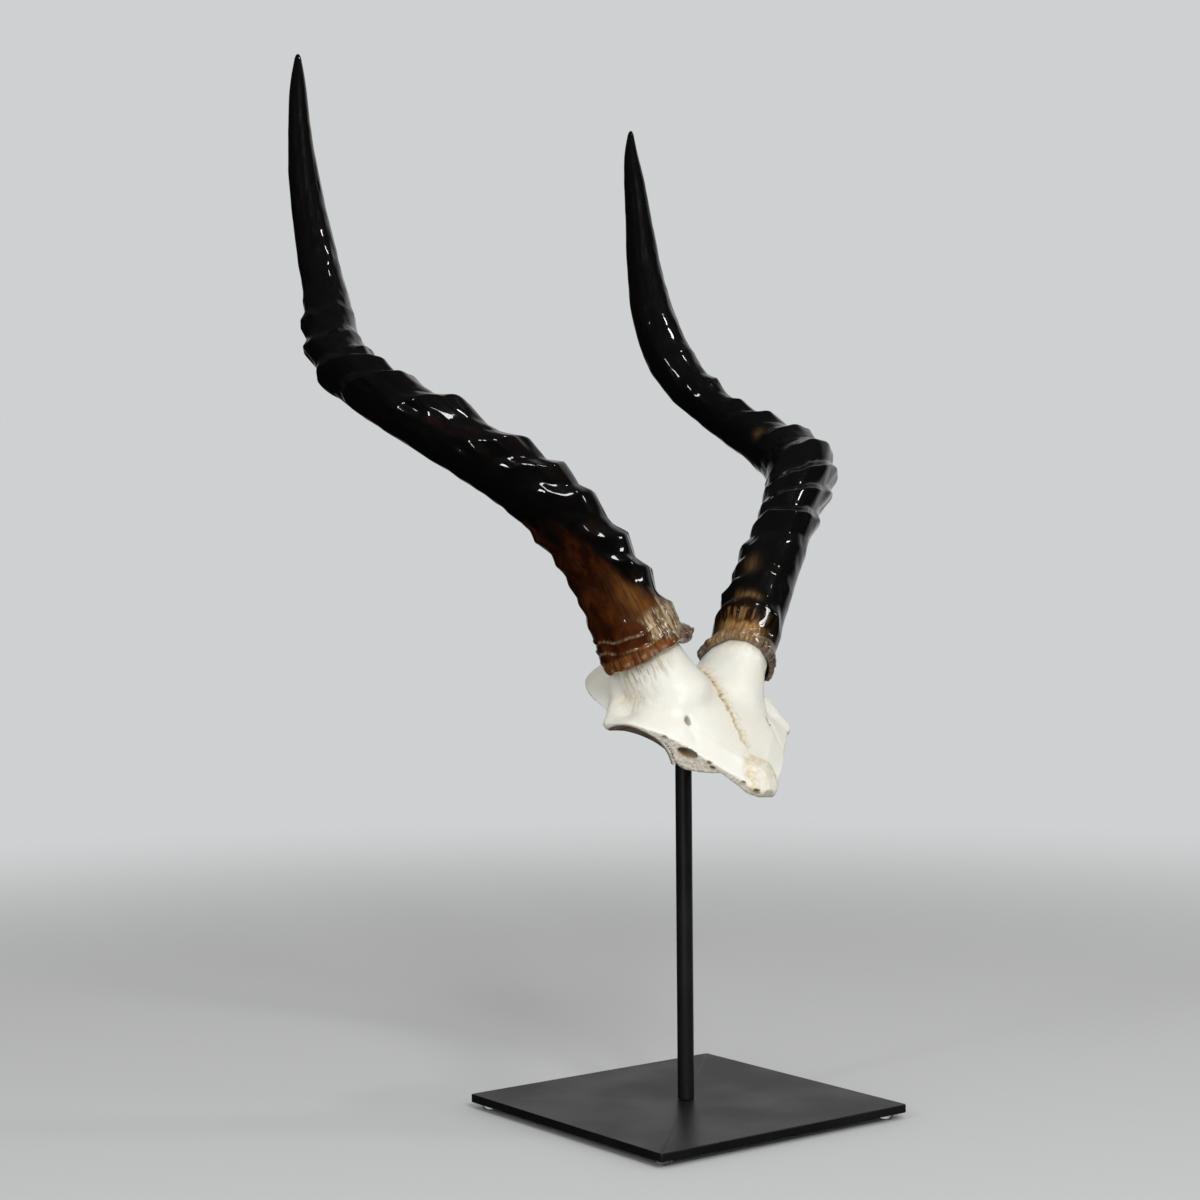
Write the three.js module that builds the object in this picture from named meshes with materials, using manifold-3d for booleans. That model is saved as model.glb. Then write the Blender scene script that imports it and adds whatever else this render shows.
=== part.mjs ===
// A pair of impala horns on the sawn skull cap, held on a display stand: a black steel rod
// on a square steel plate with four clear bumper feet.
//
// Frame, in millimetres: +Z up, the skull's nose end faces -Y, the animal's left is +X.
// Everything is first placed with its origin on the plate's top face, on the rod's axis. At
// the end the whole group moves so that the origin is the middle of the footprint, on the
// surface that the feet stand on.

import * as THREE from 'three';
import { mergeVertices } from 'three/addons/utils/BufferGeometryUtils.js';
import Module from 'manifold-3d';

const wasm = await Module();
wasm.setup();

// ---- driving dimensions ----

// Stand
const PLATE_SIDE = 150;
const PLATE_THICK = 4;
const PLATE_CORNER = 1.2;
const PLATE_EDGE = 0.4;
const ROD_D = 8;
const ROD_TOP = 216;
const ROD_CHAMFER = 0.8;
const FOOT_D = 7.5;
const FOOT_FACE_D = 5;
const FOOT_HIGH = 3;
const FOOT_ROUND_HIGH = 1.9;
const FOOT_ROUND_STEPS = 3;
const FOOT_INSET = 7;
const SCREW_D = 4;
const SCREW_HEAD_D = 8;
const SCREW_HEAD_HIGH = 2.3;
const SCREW_LONG = 16;
const SCREW_SINK = 0.2;
const SCREW_HEAD_RIM = 0.3;
const SCREW_TIP = 0.6;
const SOCKET_ACROSS = 2.5;
const SOCKET_DEEP = 1.4;
const EDGE_BREAK = 0.3;
const GAP = 0.3;
// How far a cutting shape reaches past the face that it opens
const CUT_PAST = 1;

// Facets round the turned pieces, and round and over the rounded bodies
const TURNED_SIDES = 24;
const BALL_SIDES = 24;
const BALL_BANDS = 14;

// How the head sits over the stand: turned, and leaning to the animal's left
const HEAD_YAW = THREE.MathUtils.degToRad(5.1);
const HEAD_ROLL = THREE.MathUtils.degToRad(3.4);
const HEAD_PIVOT_Z = 210;
const HEAD_SHIFT_X = -9;

// Skull frame: origin at the lower front end of the cap, Y back along the saw cut, Z up from
// it. The cut runs nose-down.
const CUT_TILT = THREE.MathUtils.degToRad(27);
const NOSE_Y = -68;
const NOSE_Z = 152;

// Frontal bone in the skull frame, from the nose end backwards: distance along the cut, half
// width, height on the midline, height of the outer edge.
const FRONTAL = [
  [0, 4, 1.6, 0],
  [3, 9, 3.6, 1.2],
  [7, 12.5, 6.6, 3],
  [12, 18, 9.6, 4.5],
  [18, 24, 13, 5.5],
  [25, 30, 18, 6.5],
  [33, 38, 24, 8],
  [42, 45, 30, 10],
  [52, 48.5, 34, 8.5],
  [60, 49, 36, 4],
  [66, 46, 37, 2],
  [72, 40, 37.5, 4],
  [78, 33, 37, 8],
  [90, 26, 34, 8],
];
const FRONTAL_CROWN = 3;
const FRONTAL_SIDES = 12;
const FRONTAL_EDGE = 2.2;
const FRONTAL_ARCH = 0.25;
const FRONTAL_ARCH_DEEP = 1;
// Block under the saw cut, cut away from the skull
const BELOW_CUT = { middle: [0, 100, -50], size: [200, 300, 100] };

// Rounded bodies of the cap in the skull frame: middle and radii along X, Y and Z
const BRAINCASE = { middle: [0, 88, 0], radii: [36, 36, 35] };
const BRAIN_HOLLOW = { middle: [0, 88, -1], radii: [32, 31.5, 29] };
const NASAL_HOLLOW = { middle: [0, 44, -3], radii: [20, 26, 17] };
const ORBIT = { middle: [46, 43, -13], radii: [21, 20, 19] };
const ORBIT_WALL = { middle: [0, 47, 0], radii: [24.5, 25, 9.5] };
const ROD_BOSS_D = 16;
const ROD_SEAT_DEEP = 7;
const BOSS_OVER = 4;

// Horn centreline from the sheath's rim to its tip, for the left horn. The right is its
// mirror image. X out from the middle of the head, Z up from the plate.
const HORN_AXIS = [
  [31.4, -16.8, 216.3],
  [57.2, -9.5, 258.5],
  [89.8, 7.8, 292.3],
  [120.5, 37.5, 317.8],
  [127.4, 81, 339.2],
  [117.2, 120.6, 367.9],
  [114.3, 144.4, 411.4],
  [114, 156.2, 460.1],
  [113.9, 164.5, 509.5],
];

// Ring crests, as distances from the rim along each centreline
const RIGHT_RINGS = [17, 35, 52, 75, 92, 112, 145, 181, 208, 231, 248, 264];
const LEFT_RINGS = [16, 33, 56, 74, 93, 116, 134, 148, 164, 184, 206, 235];
const RING_HIGH = 1.8;
const RING_HALF = 6.5;
// Crests further apart than this have a plain stretch between them
const RINGS_APART = 16.5;
// After the last crest the smooth part starts this far on
const LAST_FLANK = 26;

// Sheath diameter between the rings, against the share of the length from rim to tip
const SHEATH_D = [
  [0, 41],
  [0.03, 37.5],
  [0.11, 33.5],
  [0.23, 30.5],
  [0.35, 27.5],
  [0.49, 24.6],
  [0.6, 24],
  [0.68, 22.4],
  [0.74, 20],
  [0.81, 16.8],
  [0.87, 13.4],
  [0.93, 9.8],
  [0.98, 4.8],
  [1, 1.4],
];
const PLAIN_STEPS = 12;
const HORN_SIDES = 18;
// Sections are longer front to back than across at the rim, and round from mid-length on
const SECTION_LONG = 0.1;
const SECTION_ROUND_AT = 0.6;

// Bone core that fills the open end of each sheath, as distance along the centreline (below
// the rim where negative) and diameter
const CORE_D = [
  [-34, 50],
  [-20, 44],
  [-8, 37],
  [0, 33.5],
  [14, 30],
  [32, 25],
  [50, 18],
  [58, 11],
  [62, 3],
];
const CORE_TIP_LONG = 1.5;
const CORE_TIP_D = 0.4;
const CORE_GAP = 0.5;
const SHEATH_MOUTH = -4;
const AXIS_STEPS = 600;

// ---- helpers ----

// Straight-line interpolation in a list of [place, value] rows
function along(rows, place) {
  if (place <= rows[0][0]) return rows[0][1];
  for (let i = 1; i < rows.length; i += 1) {
    if (place <= rows[i][0]) {
      const share = (place - rows[i - 1][0]) / (rows[i][0] - rows[i - 1][0]);
      return rows[i - 1][1] + share * (rows[i][1] - rows[i - 1][1]);
    }
  }
  return rows[rows.length - 1][1];
}

// Closed solid through a list of loops that all have the same number of points
function loft(loops) {
  const sides = loops[0].length;
  const points = loops.flat();
  const faces = [];
  for (let i = 0; i + 1 < loops.length; i += 1) {
    for (let j = 0; j < sides; j += 1) {
      const a = i * sides + j;
      const b = i * sides + (j + 1) % sides;
      faces.push(a, b, b + sides, a, b + sides, a + sides);
    }
  }
  for (const [ring, flip] of [[0, true], [loops.length - 1, false]]) {
    const middle = new THREE.Vector3();
    loops[ring].forEach((point) => middle.add(point));
    points.push(middle.divideScalar(sides));
    for (let j = 0; j < sides; j += 1) {
      const a = ring * sides + j;
      const b = ring * sides + (j + 1) % sides;
      faces.push(...(flip ? [b, a, points.length - 1] : [a, b, points.length - 1]));
    }
  }
  const geometry = new THREE.BufferGeometry();
  geometry.setAttribute('position', new THREE.Float32BufferAttribute(
    points.flatMap((point) => [point.x, point.y, point.z]), 3));
  geometry.setIndex(faces);
  return geometry;
}

function toSolid(source) {
  const bare = source.clone();
  bare.deleteAttribute('normal');
  bare.deleteAttribute('uv');
  const merged = mergeVertices(bare, 1e-4);
  return new wasm.Manifold(new wasm.Mesh({
    numProp: 3,
    vertProperties: new Float32Array(merged.attributes.position.array),
    triVerts: new Uint32Array(merged.index.array),
  }));
}

function toGeometry(solid) {
  const mesh = solid.getMesh();
  const geometry = new THREE.BufferGeometry();
  geometry.setAttribute('position', new THREE.BufferAttribute(mesh.vertProperties, 3));
  geometry.setIndex(new THREE.BufferAttribute(mesh.triVerts, 1));
  geometry.computeVertexNormals();
  return geometry;
}

function named(name, geometry, material) {
  const mesh = new THREE.Mesh(geometry, material);
  mesh.name = name;
  return mesh;
}

function ellipsoid({ middle, radii }, side = 1) {
  const ball = new THREE.SphereGeometry(1, BALL_SIDES, BALL_BANDS);
  ball.scale(...radii);
  ball.translate(side * middle[0], middle[1], middle[2]);
  return toSolid(ball);
}

// Turned piece from its half outline: rows of radius and height, from axis to axis
function turned(profile) {
  const outline = profile.map(([r, z]) => new THREE.Vector2(r, z));
  return new THREE.LatheGeometry(outline, TURNED_SIDES).rotateX(Math.PI / 2);
}

// ---- horns ----

// A centreline with its length and, at any distance along it, a frame: across (sideways) and
// front-to-back axes square to the line. Distances outside the curve go on straight.
function hornAxis(knots) {
  const curve = new THREE.CatmullRomCurve3(knots.map((knot) => new THREE.Vector3(...knot)));
  curve.arcLengthDivisions = AXIS_STEPS;
  const length = curve.getLength();
  const frame = (distance) => {
    const share = Math.min(Math.max(distance / length, 0), 1);
    const tangent = curve.getTangentAt(share).normalize();
    const point = curve.getPointAt(share).addScaledVector(tangent, distance - share * length);
    const across = new THREE.Vector3(1, 0, 0).addScaledVector(tangent, -tangent.x).normalize();
    const depth = new THREE.Vector3().crossVectors(tangent, across);
    return { point, across, depth };
  };
  return { length, frame };
}

// One loop of points round the centreline: an ellipse, longer front to back near the rim
function hornLoop(axis, distance, diameter) {
  const { point, across, depth } = axis.frame(distance);
  const share = Math.max(distance, 0) / axis.length;
  const stretch = SECTION_LONG * Math.max(0, 1 - share / SECTION_ROUND_AT);
  const loop = [];
  for (let j = 0; j < HORN_SIDES; j += 1) {
    const angle = 2 * Math.PI * j / HORN_SIDES;
    loop.push(point.clone()
      .addScaledVector(across, (1 - stretch) * diameter / 2 * Math.cos(angle))
      .addScaledVector(depth, (1 + stretch) * diameter / 2 * Math.sin(angle)));
  }
  return loop;
}

// Outside of a sheath: a tapering horn with a raised ring at each crest
function sheathShape(axis, rings, clearance) {
  const rows = [[SHEATH_MOUTH - clearance, 0], [0, 0], [rings[0] - RING_HALF, 0]];
  rings.forEach((crest, i) => {
    rows.push([crest, RING_HIGH]);
    const next = rings[i + 1] ?? crest + LAST_FLANK + RING_HALF;
    if (next - crest > RINGS_APART) {
      rows.push([crest + RING_HALF, 0], [next - RING_HALF, 0]);
    } else {
      rows.push([(crest + next) / 2, 0]);
    }
  });
  const plainFrom = rows[rows.length - 1][0];
  for (let i = 1; i <= PLAIN_STEPS; i += 1) {
    rows.push([plainFrom + (axis.length - plainFrom) * i / PLAIN_STEPS, 0]);
  }
  return loft(rows.map(([distance, ring]) => hornLoop(
    axis, distance, along(SHEATH_D, distance / axis.length) + 2 * (ring + clearance))));
}

// Keratin sheath, open at the rim for the bone core
function sheath(axis, rings) {
  const outside = toSolid(sheathShape(axis, rings, 0));
  return toGeometry(outside.subtract(toSolid(coreShape(axis, CORE_GAP))));
}

// Bone core below and inside a sheath, swelled by a clearance all round
function coreShape(axis, clearance) {
  const [end, endD] = CORE_D[CORE_D.length - 1];
  const rows = [...CORE_D.slice(0, -1), [end + clearance, endD]];
  rows.push([end + CORE_TIP_LONG + clearance, CORE_TIP_D]);
  return loft(rows.map(([distance, diameter]) => hornLoop(
    axis, distance, diameter + 2 * clearance)));
}

const leftAxis = hornAxis(HORN_AXIS);
const rightAxis = hornAxis(HORN_AXIS.map(([x, y, z]) => [-x, y, z]));

// ---- skull cap ----

// One cross-section of the frontal bone: a crowned top over a low arched underside
function frontalLoop([y, half, top, edge]) {
  const upper = [];
  const lower = [];
  for (let j = 0; j <= FRONTAL_SIDES; j += 1) {
    const x = half * (2 * j / FRONTAL_SIDES - 1);
    const crown = 1 - Math.abs(x / half) ** FRONTAL_CROWN;
    upper.push(new THREE.Vector3(x, y, edge + (top - edge) * crown));
    const arch = Math.min(edge - FRONTAL_EDGE, FRONTAL_ARCH * Math.abs(x) - FRONTAL_ARCH_DEEP);
    lower.unshift(new THREE.Vector3(x, y, arch));
  }
  return [...upper, ...lower];
}

// Nested frames: the head over the stand, and the skull in the head
const skullPlace = new THREE.Group();
skullPlace.position.set(0, NOSE_Y, NOSE_Z);
skullPlace.rotation.set(CUT_TILT, 0, 0);
const headPlace = new THREE.Group();
headPlace.position.set(0, 0, -HEAD_PIVOT_Z);
headPlace.add(skullPlace);
const headTurn = new THREE.Group();
headTurn.position.set(HEAD_SHIFT_X, 0, HEAD_PIVOT_Z);
headTurn.rotation.set(0, HEAD_ROLL, HEAD_YAW, 'ZYX');
headTurn.add(headPlace);
headTurn.updateMatrixWorld(true);
const headToSkull = skullPlace.matrix.clone().invert();
const standToSkull = skullPlace.matrixWorld.clone().invert();

// Upright cylinder on the rod's axis, given in the skull frame
function onRodAxis(diameter, bottom, top) {
  const pin = new THREE.CylinderGeometry(diameter / 2, diameter / 2, top - bottom, TURNED_SIDES);
  pin.rotateX(Math.PI / 2);
  pin.translate(0, 0, (top + bottom) / 2);
  return toSolid(pin.applyMatrix4(standToSkull));
}

function skullCap() {
  const below = new THREE.BoxGeometry(...BELOW_CUT.size);
  below.translate(...BELOW_CUT.middle);
  let cap = toSolid(loft(FRONTAL.map(frontalLoop))).add(ellipsoid(BRAINCASE));
  const sides = [[rightAxis, RIGHT_RINGS], [leftAxis, LEFT_RINGS]].map(([axis, rings]) => ({
    core: toSolid(coreShape(axis, 0).applyMatrix4(headToSkull)),
    sheath: toSolid(sheathShape(axis, rings, CORE_GAP).applyMatrix4(headToSkull)),
  }));
  for (const side of sides) {
    cap = cap.add(side.core);
  }
  for (const side of sides) {
    cap = cap.subtract(side.sheath.subtract(side.core));
  }
  // Below the saw cut only the thin walls between the orbits hang on
  cap = cap.subtract(toSolid(below)).add(ellipsoid(ORBIT_WALL));
  for (const hollow of [BRAIN_HOLLOW, NASAL_HOLLOW, ORBIT]) {
    cap = cap.subtract(ellipsoid(hollow)).subtract(ellipsoid(hollow, -1));
  }
  // A boss round the rod's upper end, drilled from below
  cap = cap.add(onRodAxis(ROD_BOSS_D, ROD_TOP - ROD_SEAT_DEEP, ROD_TOP + BOSS_OVER));
  return cap.subtract(onRodAxis(ROD_D + 2 * GAP, HEAD_PIVOT_Z / 2, ROD_TOP + GAP));
}

// ---- stand ----

function plate() {
  const half = PLATE_SIDE / 2 - PLATE_EDGE;
  const r = PLATE_CORNER;
  const outline = new THREE.Shape();
  outline.moveTo(half, half - r);
  outline.absarc(half - r, half - r, r, 0, Math.PI / 2);
  outline.absarc(-half + r, half - r, r, Math.PI / 2, Math.PI);
  outline.absarc(-half + r, -half + r, r, Math.PI, 1.5 * Math.PI);
  outline.absarc(half - r, -half + r, r, 1.5 * Math.PI, 2 * Math.PI);
  const body = new THREE.ExtrudeGeometry(outline, {
    depth: PLATE_THICK - 2 * PLATE_EDGE,
    bevelThickness: PLATE_EDGE,
    bevelSize: PLATE_EDGE,
    bevelSegments: 1,
    curveSegments: 3,
  });
  body.translate(0, 0, PLATE_EDGE - PLATE_THICK);
  return toGeometry(toSolid(body).subtract(toSolid(screwShape(GAP))));
}

// Countersunk screw from below, drawn with its axis upright; a clearance gives its hole
function screwShape(clearance) {
  const low = -PLATE_THICK + (clearance > 0 ? -CUT_PAST : SCREW_SINK);
  const headR = SCREW_HEAD_D / 2 + clearance;
  const shankR = SCREW_D / 2 + clearance;
  const neck = -PLATE_THICK + SCREW_SINK + SCREW_HEAD_HIGH;
  const top = -PLATE_THICK + SCREW_LONG + clearance;
  return turned([
    [0, low],
    [headR, low],
    [headR, -PLATE_THICK + SCREW_SINK + SCREW_HEAD_RIM],
    [shankR, neck],
    [shankR, top - SCREW_TIP],
    [shankR - SCREW_TIP, top],
    [0, top],
  ]);
}

function screw() {
  const across = SOCKET_ACROSS / Math.sqrt(3);
  const socket = new THREE.CylinderGeometry(across, across, 2 * SOCKET_DEEP, 6);
  socket.rotateX(Math.PI / 2);
  socket.translate(0, 0, -PLATE_THICK + SCREW_SINK);
  return toGeometry(toSolid(screwShape(0)).subtract(toSolid(socket)));
}

function rod() {
  const r = ROD_D / 2;
  const body = turned([
    [0, GAP],
    [r - EDGE_BREAK, GAP],
    [r, GAP + EDGE_BREAK],
    [r, ROD_TOP - ROD_CHAMFER],
    [r - ROD_CHAMFER, ROD_TOP],
    [0, ROD_TOP],
  ]);
  return toGeometry(toSolid(body).subtract(toSolid(screwShape(GAP))));
}

// Bumper foot: a flat round face below, rounded up to a straight side
function foot() {
  const top = -PLATE_THICK - GAP;
  const bottom = -PLATE_THICK - FOOT_HIGH;
  const profile = [[0, bottom]];
  for (let i = 0; i <= FOOT_ROUND_STEPS; i += 1) {
    const angle = Math.PI / 2 * i / FOOT_ROUND_STEPS;
    const r = FOOT_FACE_D / 2 + (FOOT_D - FOOT_FACE_D) / 2 * Math.sin(angle);
    profile.push([r, bottom + FOOT_ROUND_HIGH * (1 - Math.cos(angle))]);
  }
  profile.push([FOOT_D / 2, top], [0, top]);
  return turned(profile);
}

// ---- materials ----

const boneWhite = new THREE.MeshStandardMaterial({ color: 0xe9e3d4, roughness: 0.38 });
const hornBlack = new THREE.MeshStandardMaterial({ color: 0x120e0b, roughness: 0.14 });
const standBlack = new THREE.MeshStandardMaterial({
  color: 0x16171a,
  roughness: 0.42,
  metalness: 0.2,
});
const clearRubber = new THREE.MeshStandardMaterial({
  color: 0xdfe3e4,
  roughness: 0.2,
  transparent: true,
  opacity: 0.5,
});
const zincSteel = new THREE.MeshStandardMaterial({
  color: 0x9a9c9e,
  roughness: 0.35,
  metalness: 1,
});

// ---- assembly ----

const horns = new THREE.Group();
skullPlace.add(named('skull_cap', toGeometry(skullCap()), boneWhite));
headPlace.add(named('horn_sheath_right', sheath(rightAxis, RIGHT_RINGS), hornBlack));
headPlace.add(named('horn_sheath_left', sheath(leftAxis, LEFT_RINGS), hornBlack));
horns.add(headTurn);
horns.add(named('rod', rod(), standBlack));
horns.add(named('base_plate', plate(), standBlack));
horns.add(named('rod_screw', screw(), zincSteel));
for (const [end, y] of [['front', -1], ['back', 1]]) {
  for (const [side, x] of [['right', -1], ['left', 1]]) {
    const mesh = named(`foot_${end}_${side}`, foot(), clearRubber);
    const reach = PLATE_SIDE / 2 - FOOT_INSET;
    mesh.position.set(x * reach, y * reach, 0);
    horns.add(mesh);
  }
}

// Origin: middle of the whole footprint, on the surface under the feet
const box = new THREE.Box3().setFromObject(horns, true);
const middle = box.getCenter(new THREE.Vector3());
const assembly = new THREE.Group();
horns.position.set(-middle.x, -middle.y, -box.min.z);
assembly.add(horns);

export default assembly;
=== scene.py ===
"""Looks of the impala horns on their stand: two ringed keratin sheaths, the sawn skull cap,
and the rod, plate and feet that hold them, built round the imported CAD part.

Shapes are worked out in millimetres in three nested frames. The stand frame has its origin on
the plate's top face, on the rod's axis. The head frame is the animal's own: X to its left, Y
back, Z up. The skull frame starts at the nose end of the cap and runs back along the saw cut.
"""

import math

import bpy
import numpy as np
from mathutils import Matrix, Vector


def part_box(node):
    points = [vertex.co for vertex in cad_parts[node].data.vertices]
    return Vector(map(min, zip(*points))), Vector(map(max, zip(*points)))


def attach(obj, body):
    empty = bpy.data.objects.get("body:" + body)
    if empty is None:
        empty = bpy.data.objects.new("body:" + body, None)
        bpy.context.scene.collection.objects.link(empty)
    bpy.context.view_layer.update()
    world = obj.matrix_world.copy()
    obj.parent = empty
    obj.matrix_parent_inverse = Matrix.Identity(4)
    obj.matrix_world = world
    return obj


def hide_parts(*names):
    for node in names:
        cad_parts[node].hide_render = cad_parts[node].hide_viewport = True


MM = 0.001
SEED = 11
SIDES = (-1, 1)

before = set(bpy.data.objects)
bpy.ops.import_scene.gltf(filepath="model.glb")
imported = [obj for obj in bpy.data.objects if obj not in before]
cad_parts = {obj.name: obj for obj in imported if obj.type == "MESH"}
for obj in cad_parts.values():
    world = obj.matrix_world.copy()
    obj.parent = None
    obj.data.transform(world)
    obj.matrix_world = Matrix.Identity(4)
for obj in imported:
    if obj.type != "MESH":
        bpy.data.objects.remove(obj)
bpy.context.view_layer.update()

# ---- frames ----

HEAD_YAW = math.radians(5.1)
HEAD_ROLL = math.radians(3.4)
HEAD_PIVOT = np.array([0.0, 0.0, 210.0])
HEAD_SHIFT = np.array([-9.0, 0.0, 0.0])
CUT_TILT = math.radians(27)
NOSE = np.array([0.0, -68.0, 152.0])

rod_low, rod_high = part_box("rod")
plate_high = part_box("base_plate")[1]
STAND = np.array([(rod_low.x + rod_high.x) / 2, (rod_low.y + rod_high.y) / 2, plate_high.z])


def rotation(angle, axis):
    """Rotation about one axis, as a numpy matrix."""
    return np.array(Matrix.Rotation(angle, 3, axis))


HEAD_TURN = rotation(HEAD_YAW, "Z") @ rotation(HEAD_ROLL, "Y")
SKULL_TURN = rotation(CUT_TILT, "X")


def head_to_stand(points):
    return (points - HEAD_PIVOT) @ HEAD_TURN.T + HEAD_PIVOT + HEAD_SHIFT


def skull_to_head(points):
    return points @ SKULL_TURN.T + NOSE


def head_to_skull(points):
    return (points - NOSE) @ SKULL_TURN


def to_scene(points):
    return points * MM + STAND


# ---- small maths ----


def smoothstep(low, high, value):
    """0 below low, 1 above high and a smooth rise between them."""
    t = np.clip((value - low) / (high - low), 0, 1)
    return t * t * (3 - 2 * t)


def hermite(rows):
    """A smooth curve through rows of (place, value)."""
    xs, ys = np.array(rows, float).T
    slopes = np.gradient(ys, xs)

    def curve(place):
        place = np.clip(place, xs[0], xs[-1])
        i = np.clip(np.searchsorted(xs, place, side="right") - 1, 0, len(xs) - 2)
        gap = xs[i + 1] - xs[i]
        t = (place - xs[i]) / gap
        return ((1 + 2 * t) * (1 - t) ** 2 * ys[i] + t * (1 - t) ** 2 * gap * slopes[i]
                + t * t * (3 - 2 * t) * ys[i + 1] + t * t * (t - 1) * gap * slopes[i + 1])

    return curve


def whole_degrees(angle):
    """Degrees from 0 to 360."""
    return np.degrees(angle) % 360


def round_table(rows, angle):
    """Straight-line interpolation round a circle, in rows of (degrees, value)."""
    degrees, values = np.array(rows, float).T
    return np.interp(whole_degrees(angle), degrees, values, period=360)


def noise(points, size, seed):
    """Smooth noise from -1 to 1 whose lumps are about as large as size."""
    place = points / np.asarray(size, float)
    cell = np.floor(place).astype(np.int64)
    t = place - cell
    t = t * t * (3 - 2 * t)
    total = np.zeros(len(points))
    for corner in range(8):
        step = np.array([corner & 1, corner >> 1 & 1, corner >> 2 & 1])
        c = cell + step
        h = (c[:, 0] * 73856093) ^ (c[:, 1] * 19349663) ^ (c[:, 2] * 83492791) ^ (seed * 60493)
        h = (h ^ (h >> 13)) * 1274126177 & 0x7FFFFFFF
        h = (h ^ (h >> 15)) & 0xFFFF
        weight = np.prod(np.where(step == 1, t, 1 - t), axis=1)
        total += weight * (h / 32767.5 - 1)
    return total


def bell(value, middle, width, power=2):
    """1 at the middle and next to nothing two widths away; a higher power has a flatter top."""
    return np.exp(-((value - middle) / width) ** power)


def smooth_min(a, b, reach):
    """The smaller of two fields, blended where they are within reach of each other."""
    h = np.clip(0.5 + 0.5 * (b - a) / reach, 0, 1)
    return b + (a - b) * h - reach * h * (1 - h)


def smooth_max(a, b, reach):
    return -smooth_min(-a, -b, reach)


# ---- meshes and pieces ----


def new_object(name, points, faces):
    """A mesh object from points in the stand frame, in millimetres."""
    mesh = bpy.data.meshes.new(name)
    mesh.from_pydata(to_scene(np.asarray(points)).tolist(), [], faces)
    mesh.validate()
    mesh.update()
    mesh.shade_smooth()
    obj = bpy.data.objects.new(name, mesh)
    bpy.context.scene.collection.objects.link(obj)
    return obj


def set_values(obj, **masks):
    """Point attributes of one number, for the materials to read."""
    for name, values in masks.items():
        layer = obj.data.attributes.new(name, "FLOAT", "POINT")
        layer.data.foreach_set("value", np.asarray(values, np.float32))


def set_vectors(obj, name, vectors):
    layer = obj.data.attributes.new(name, "FLOAT_VECTOR", "POINT")
    layer.data.foreach_set("vector", np.asarray(vectors, np.float32).ravel())


def piece(obj, node, material):
    """Sets one finished piece, with its material, in place of its CAD node, which it hides."""
    obj.data.materials.append(material)
    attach(obj, "root")
    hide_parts(node)


def grid_faces(rows, sides, first=0):
    """Quads between rows of points that each close round on themselves."""
    i, j = np.meshgrid(np.arange(rows - 1), np.arange(sides), indexing="ij")
    a = first + i * sides + j
    b = first + i * sides + (j + 1) % sides
    return np.stack([a, b, b + sides, a + sides], -1).reshape(-1, 4).tolist()


def turned(name, profile, sides, middle=(0.0, 0.0)):
    """Closed turned piece from rows of (radius, height) that start and end on the axis."""
    angles = np.linspace(0, 2 * np.pi, sides, endpoint=False)
    inner = profile[1:-1]
    points = [[middle[0], middle[1], profile[0][1]], [middle[0], middle[1], profile[-1][1]]]
    for radius, height in inner:
        ring = np.stack([middle[0] + radius * np.cos(angles), middle[1] + radius * np.sin(angles),
                         np.full(sides, height)], -1)
        points.extend(ring.tolist())
    faces = grid_faces(len(inner), sides, 2)
    last = 2 + (len(inner) - 1) * sides
    for j in range(sides):
        k = (j + 1) % sides
        faces.append([0, 2 + k, 2 + j])
        faces.append([1, last + j, last + k])
    return new_object(name, points, faces)


def rounded(start, centre, end, steps):
    """Points of a quarter round from start to end about a centre."""
    rows = []
    for i in range(steps + 1):
        t = math.pi / 2 * i / steps
        rows.append((centre[0] + (start[0] - centre[0]) * math.cos(t)
                     + (end[0] - centre[0]) * math.sin(t),
                     centre[1] + (start[1] - centre[1]) * math.cos(t)
                     + (end[1] - centre[1]) * math.sin(t)))
    return rows


# ---- camera ----

CAMERA_PLACE = np.array([-727.94, -899.21, 267.56])
CAMERA_AZIMUTH = math.radians(-37.03)
CAMERA_DOWN = math.radians(1.27)
CAMERA_ROLL = math.radians(-0.48)
CAMERA_LENS = 72
CAMERA_SENSOR = 36


def make_camera():
    """Camera at the photo's place and angle."""
    a, e, r = CAMERA_AZIMUTH, CAMERA_DOWN, CAMERA_ROLL
    back = Vector((math.sin(a) * math.cos(e), -math.cos(a) * math.cos(e), math.sin(e)))
    level = Vector((math.cos(a), math.sin(a), 0))
    above = back.cross(level)
    right = math.cos(r) * level + math.sin(r) * above
    up = -math.sin(r) * level + math.cos(r) * above
    data = bpy.data.cameras.new("camera")
    data.lens = CAMERA_LENS
    data.sensor_width = CAMERA_SENSOR
    obj = bpy.data.objects.new("camera", data)
    obj.matrix_world = Matrix.Translation(Vector(to_scene(CAMERA_PLACE))) @ Matrix(
        (right, up, back)).transposed().to_4x4()
    bpy.context.scene.collection.objects.link(obj)
    bpy.context.scene.camera = obj


make_camera()

# ---- horns ----

# Centreline of the left horn in the head frame; the right horn's is its mirror image
HORN_AXIS = np.array([
    [31.4, -16.8, 216.3],
    [57.2, -9.5, 258.5],
    [89.8, 7.8, 292.3],
    [120.5, 37.5, 317.8],
    [127.4, 81.0, 339.2],
    [117.2, 120.6, 367.9],
    [114.3, 144.4, 411.4],
    [114.0, 156.2, 460.1],
    [113.9, 164.5, 509.5],
])

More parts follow.
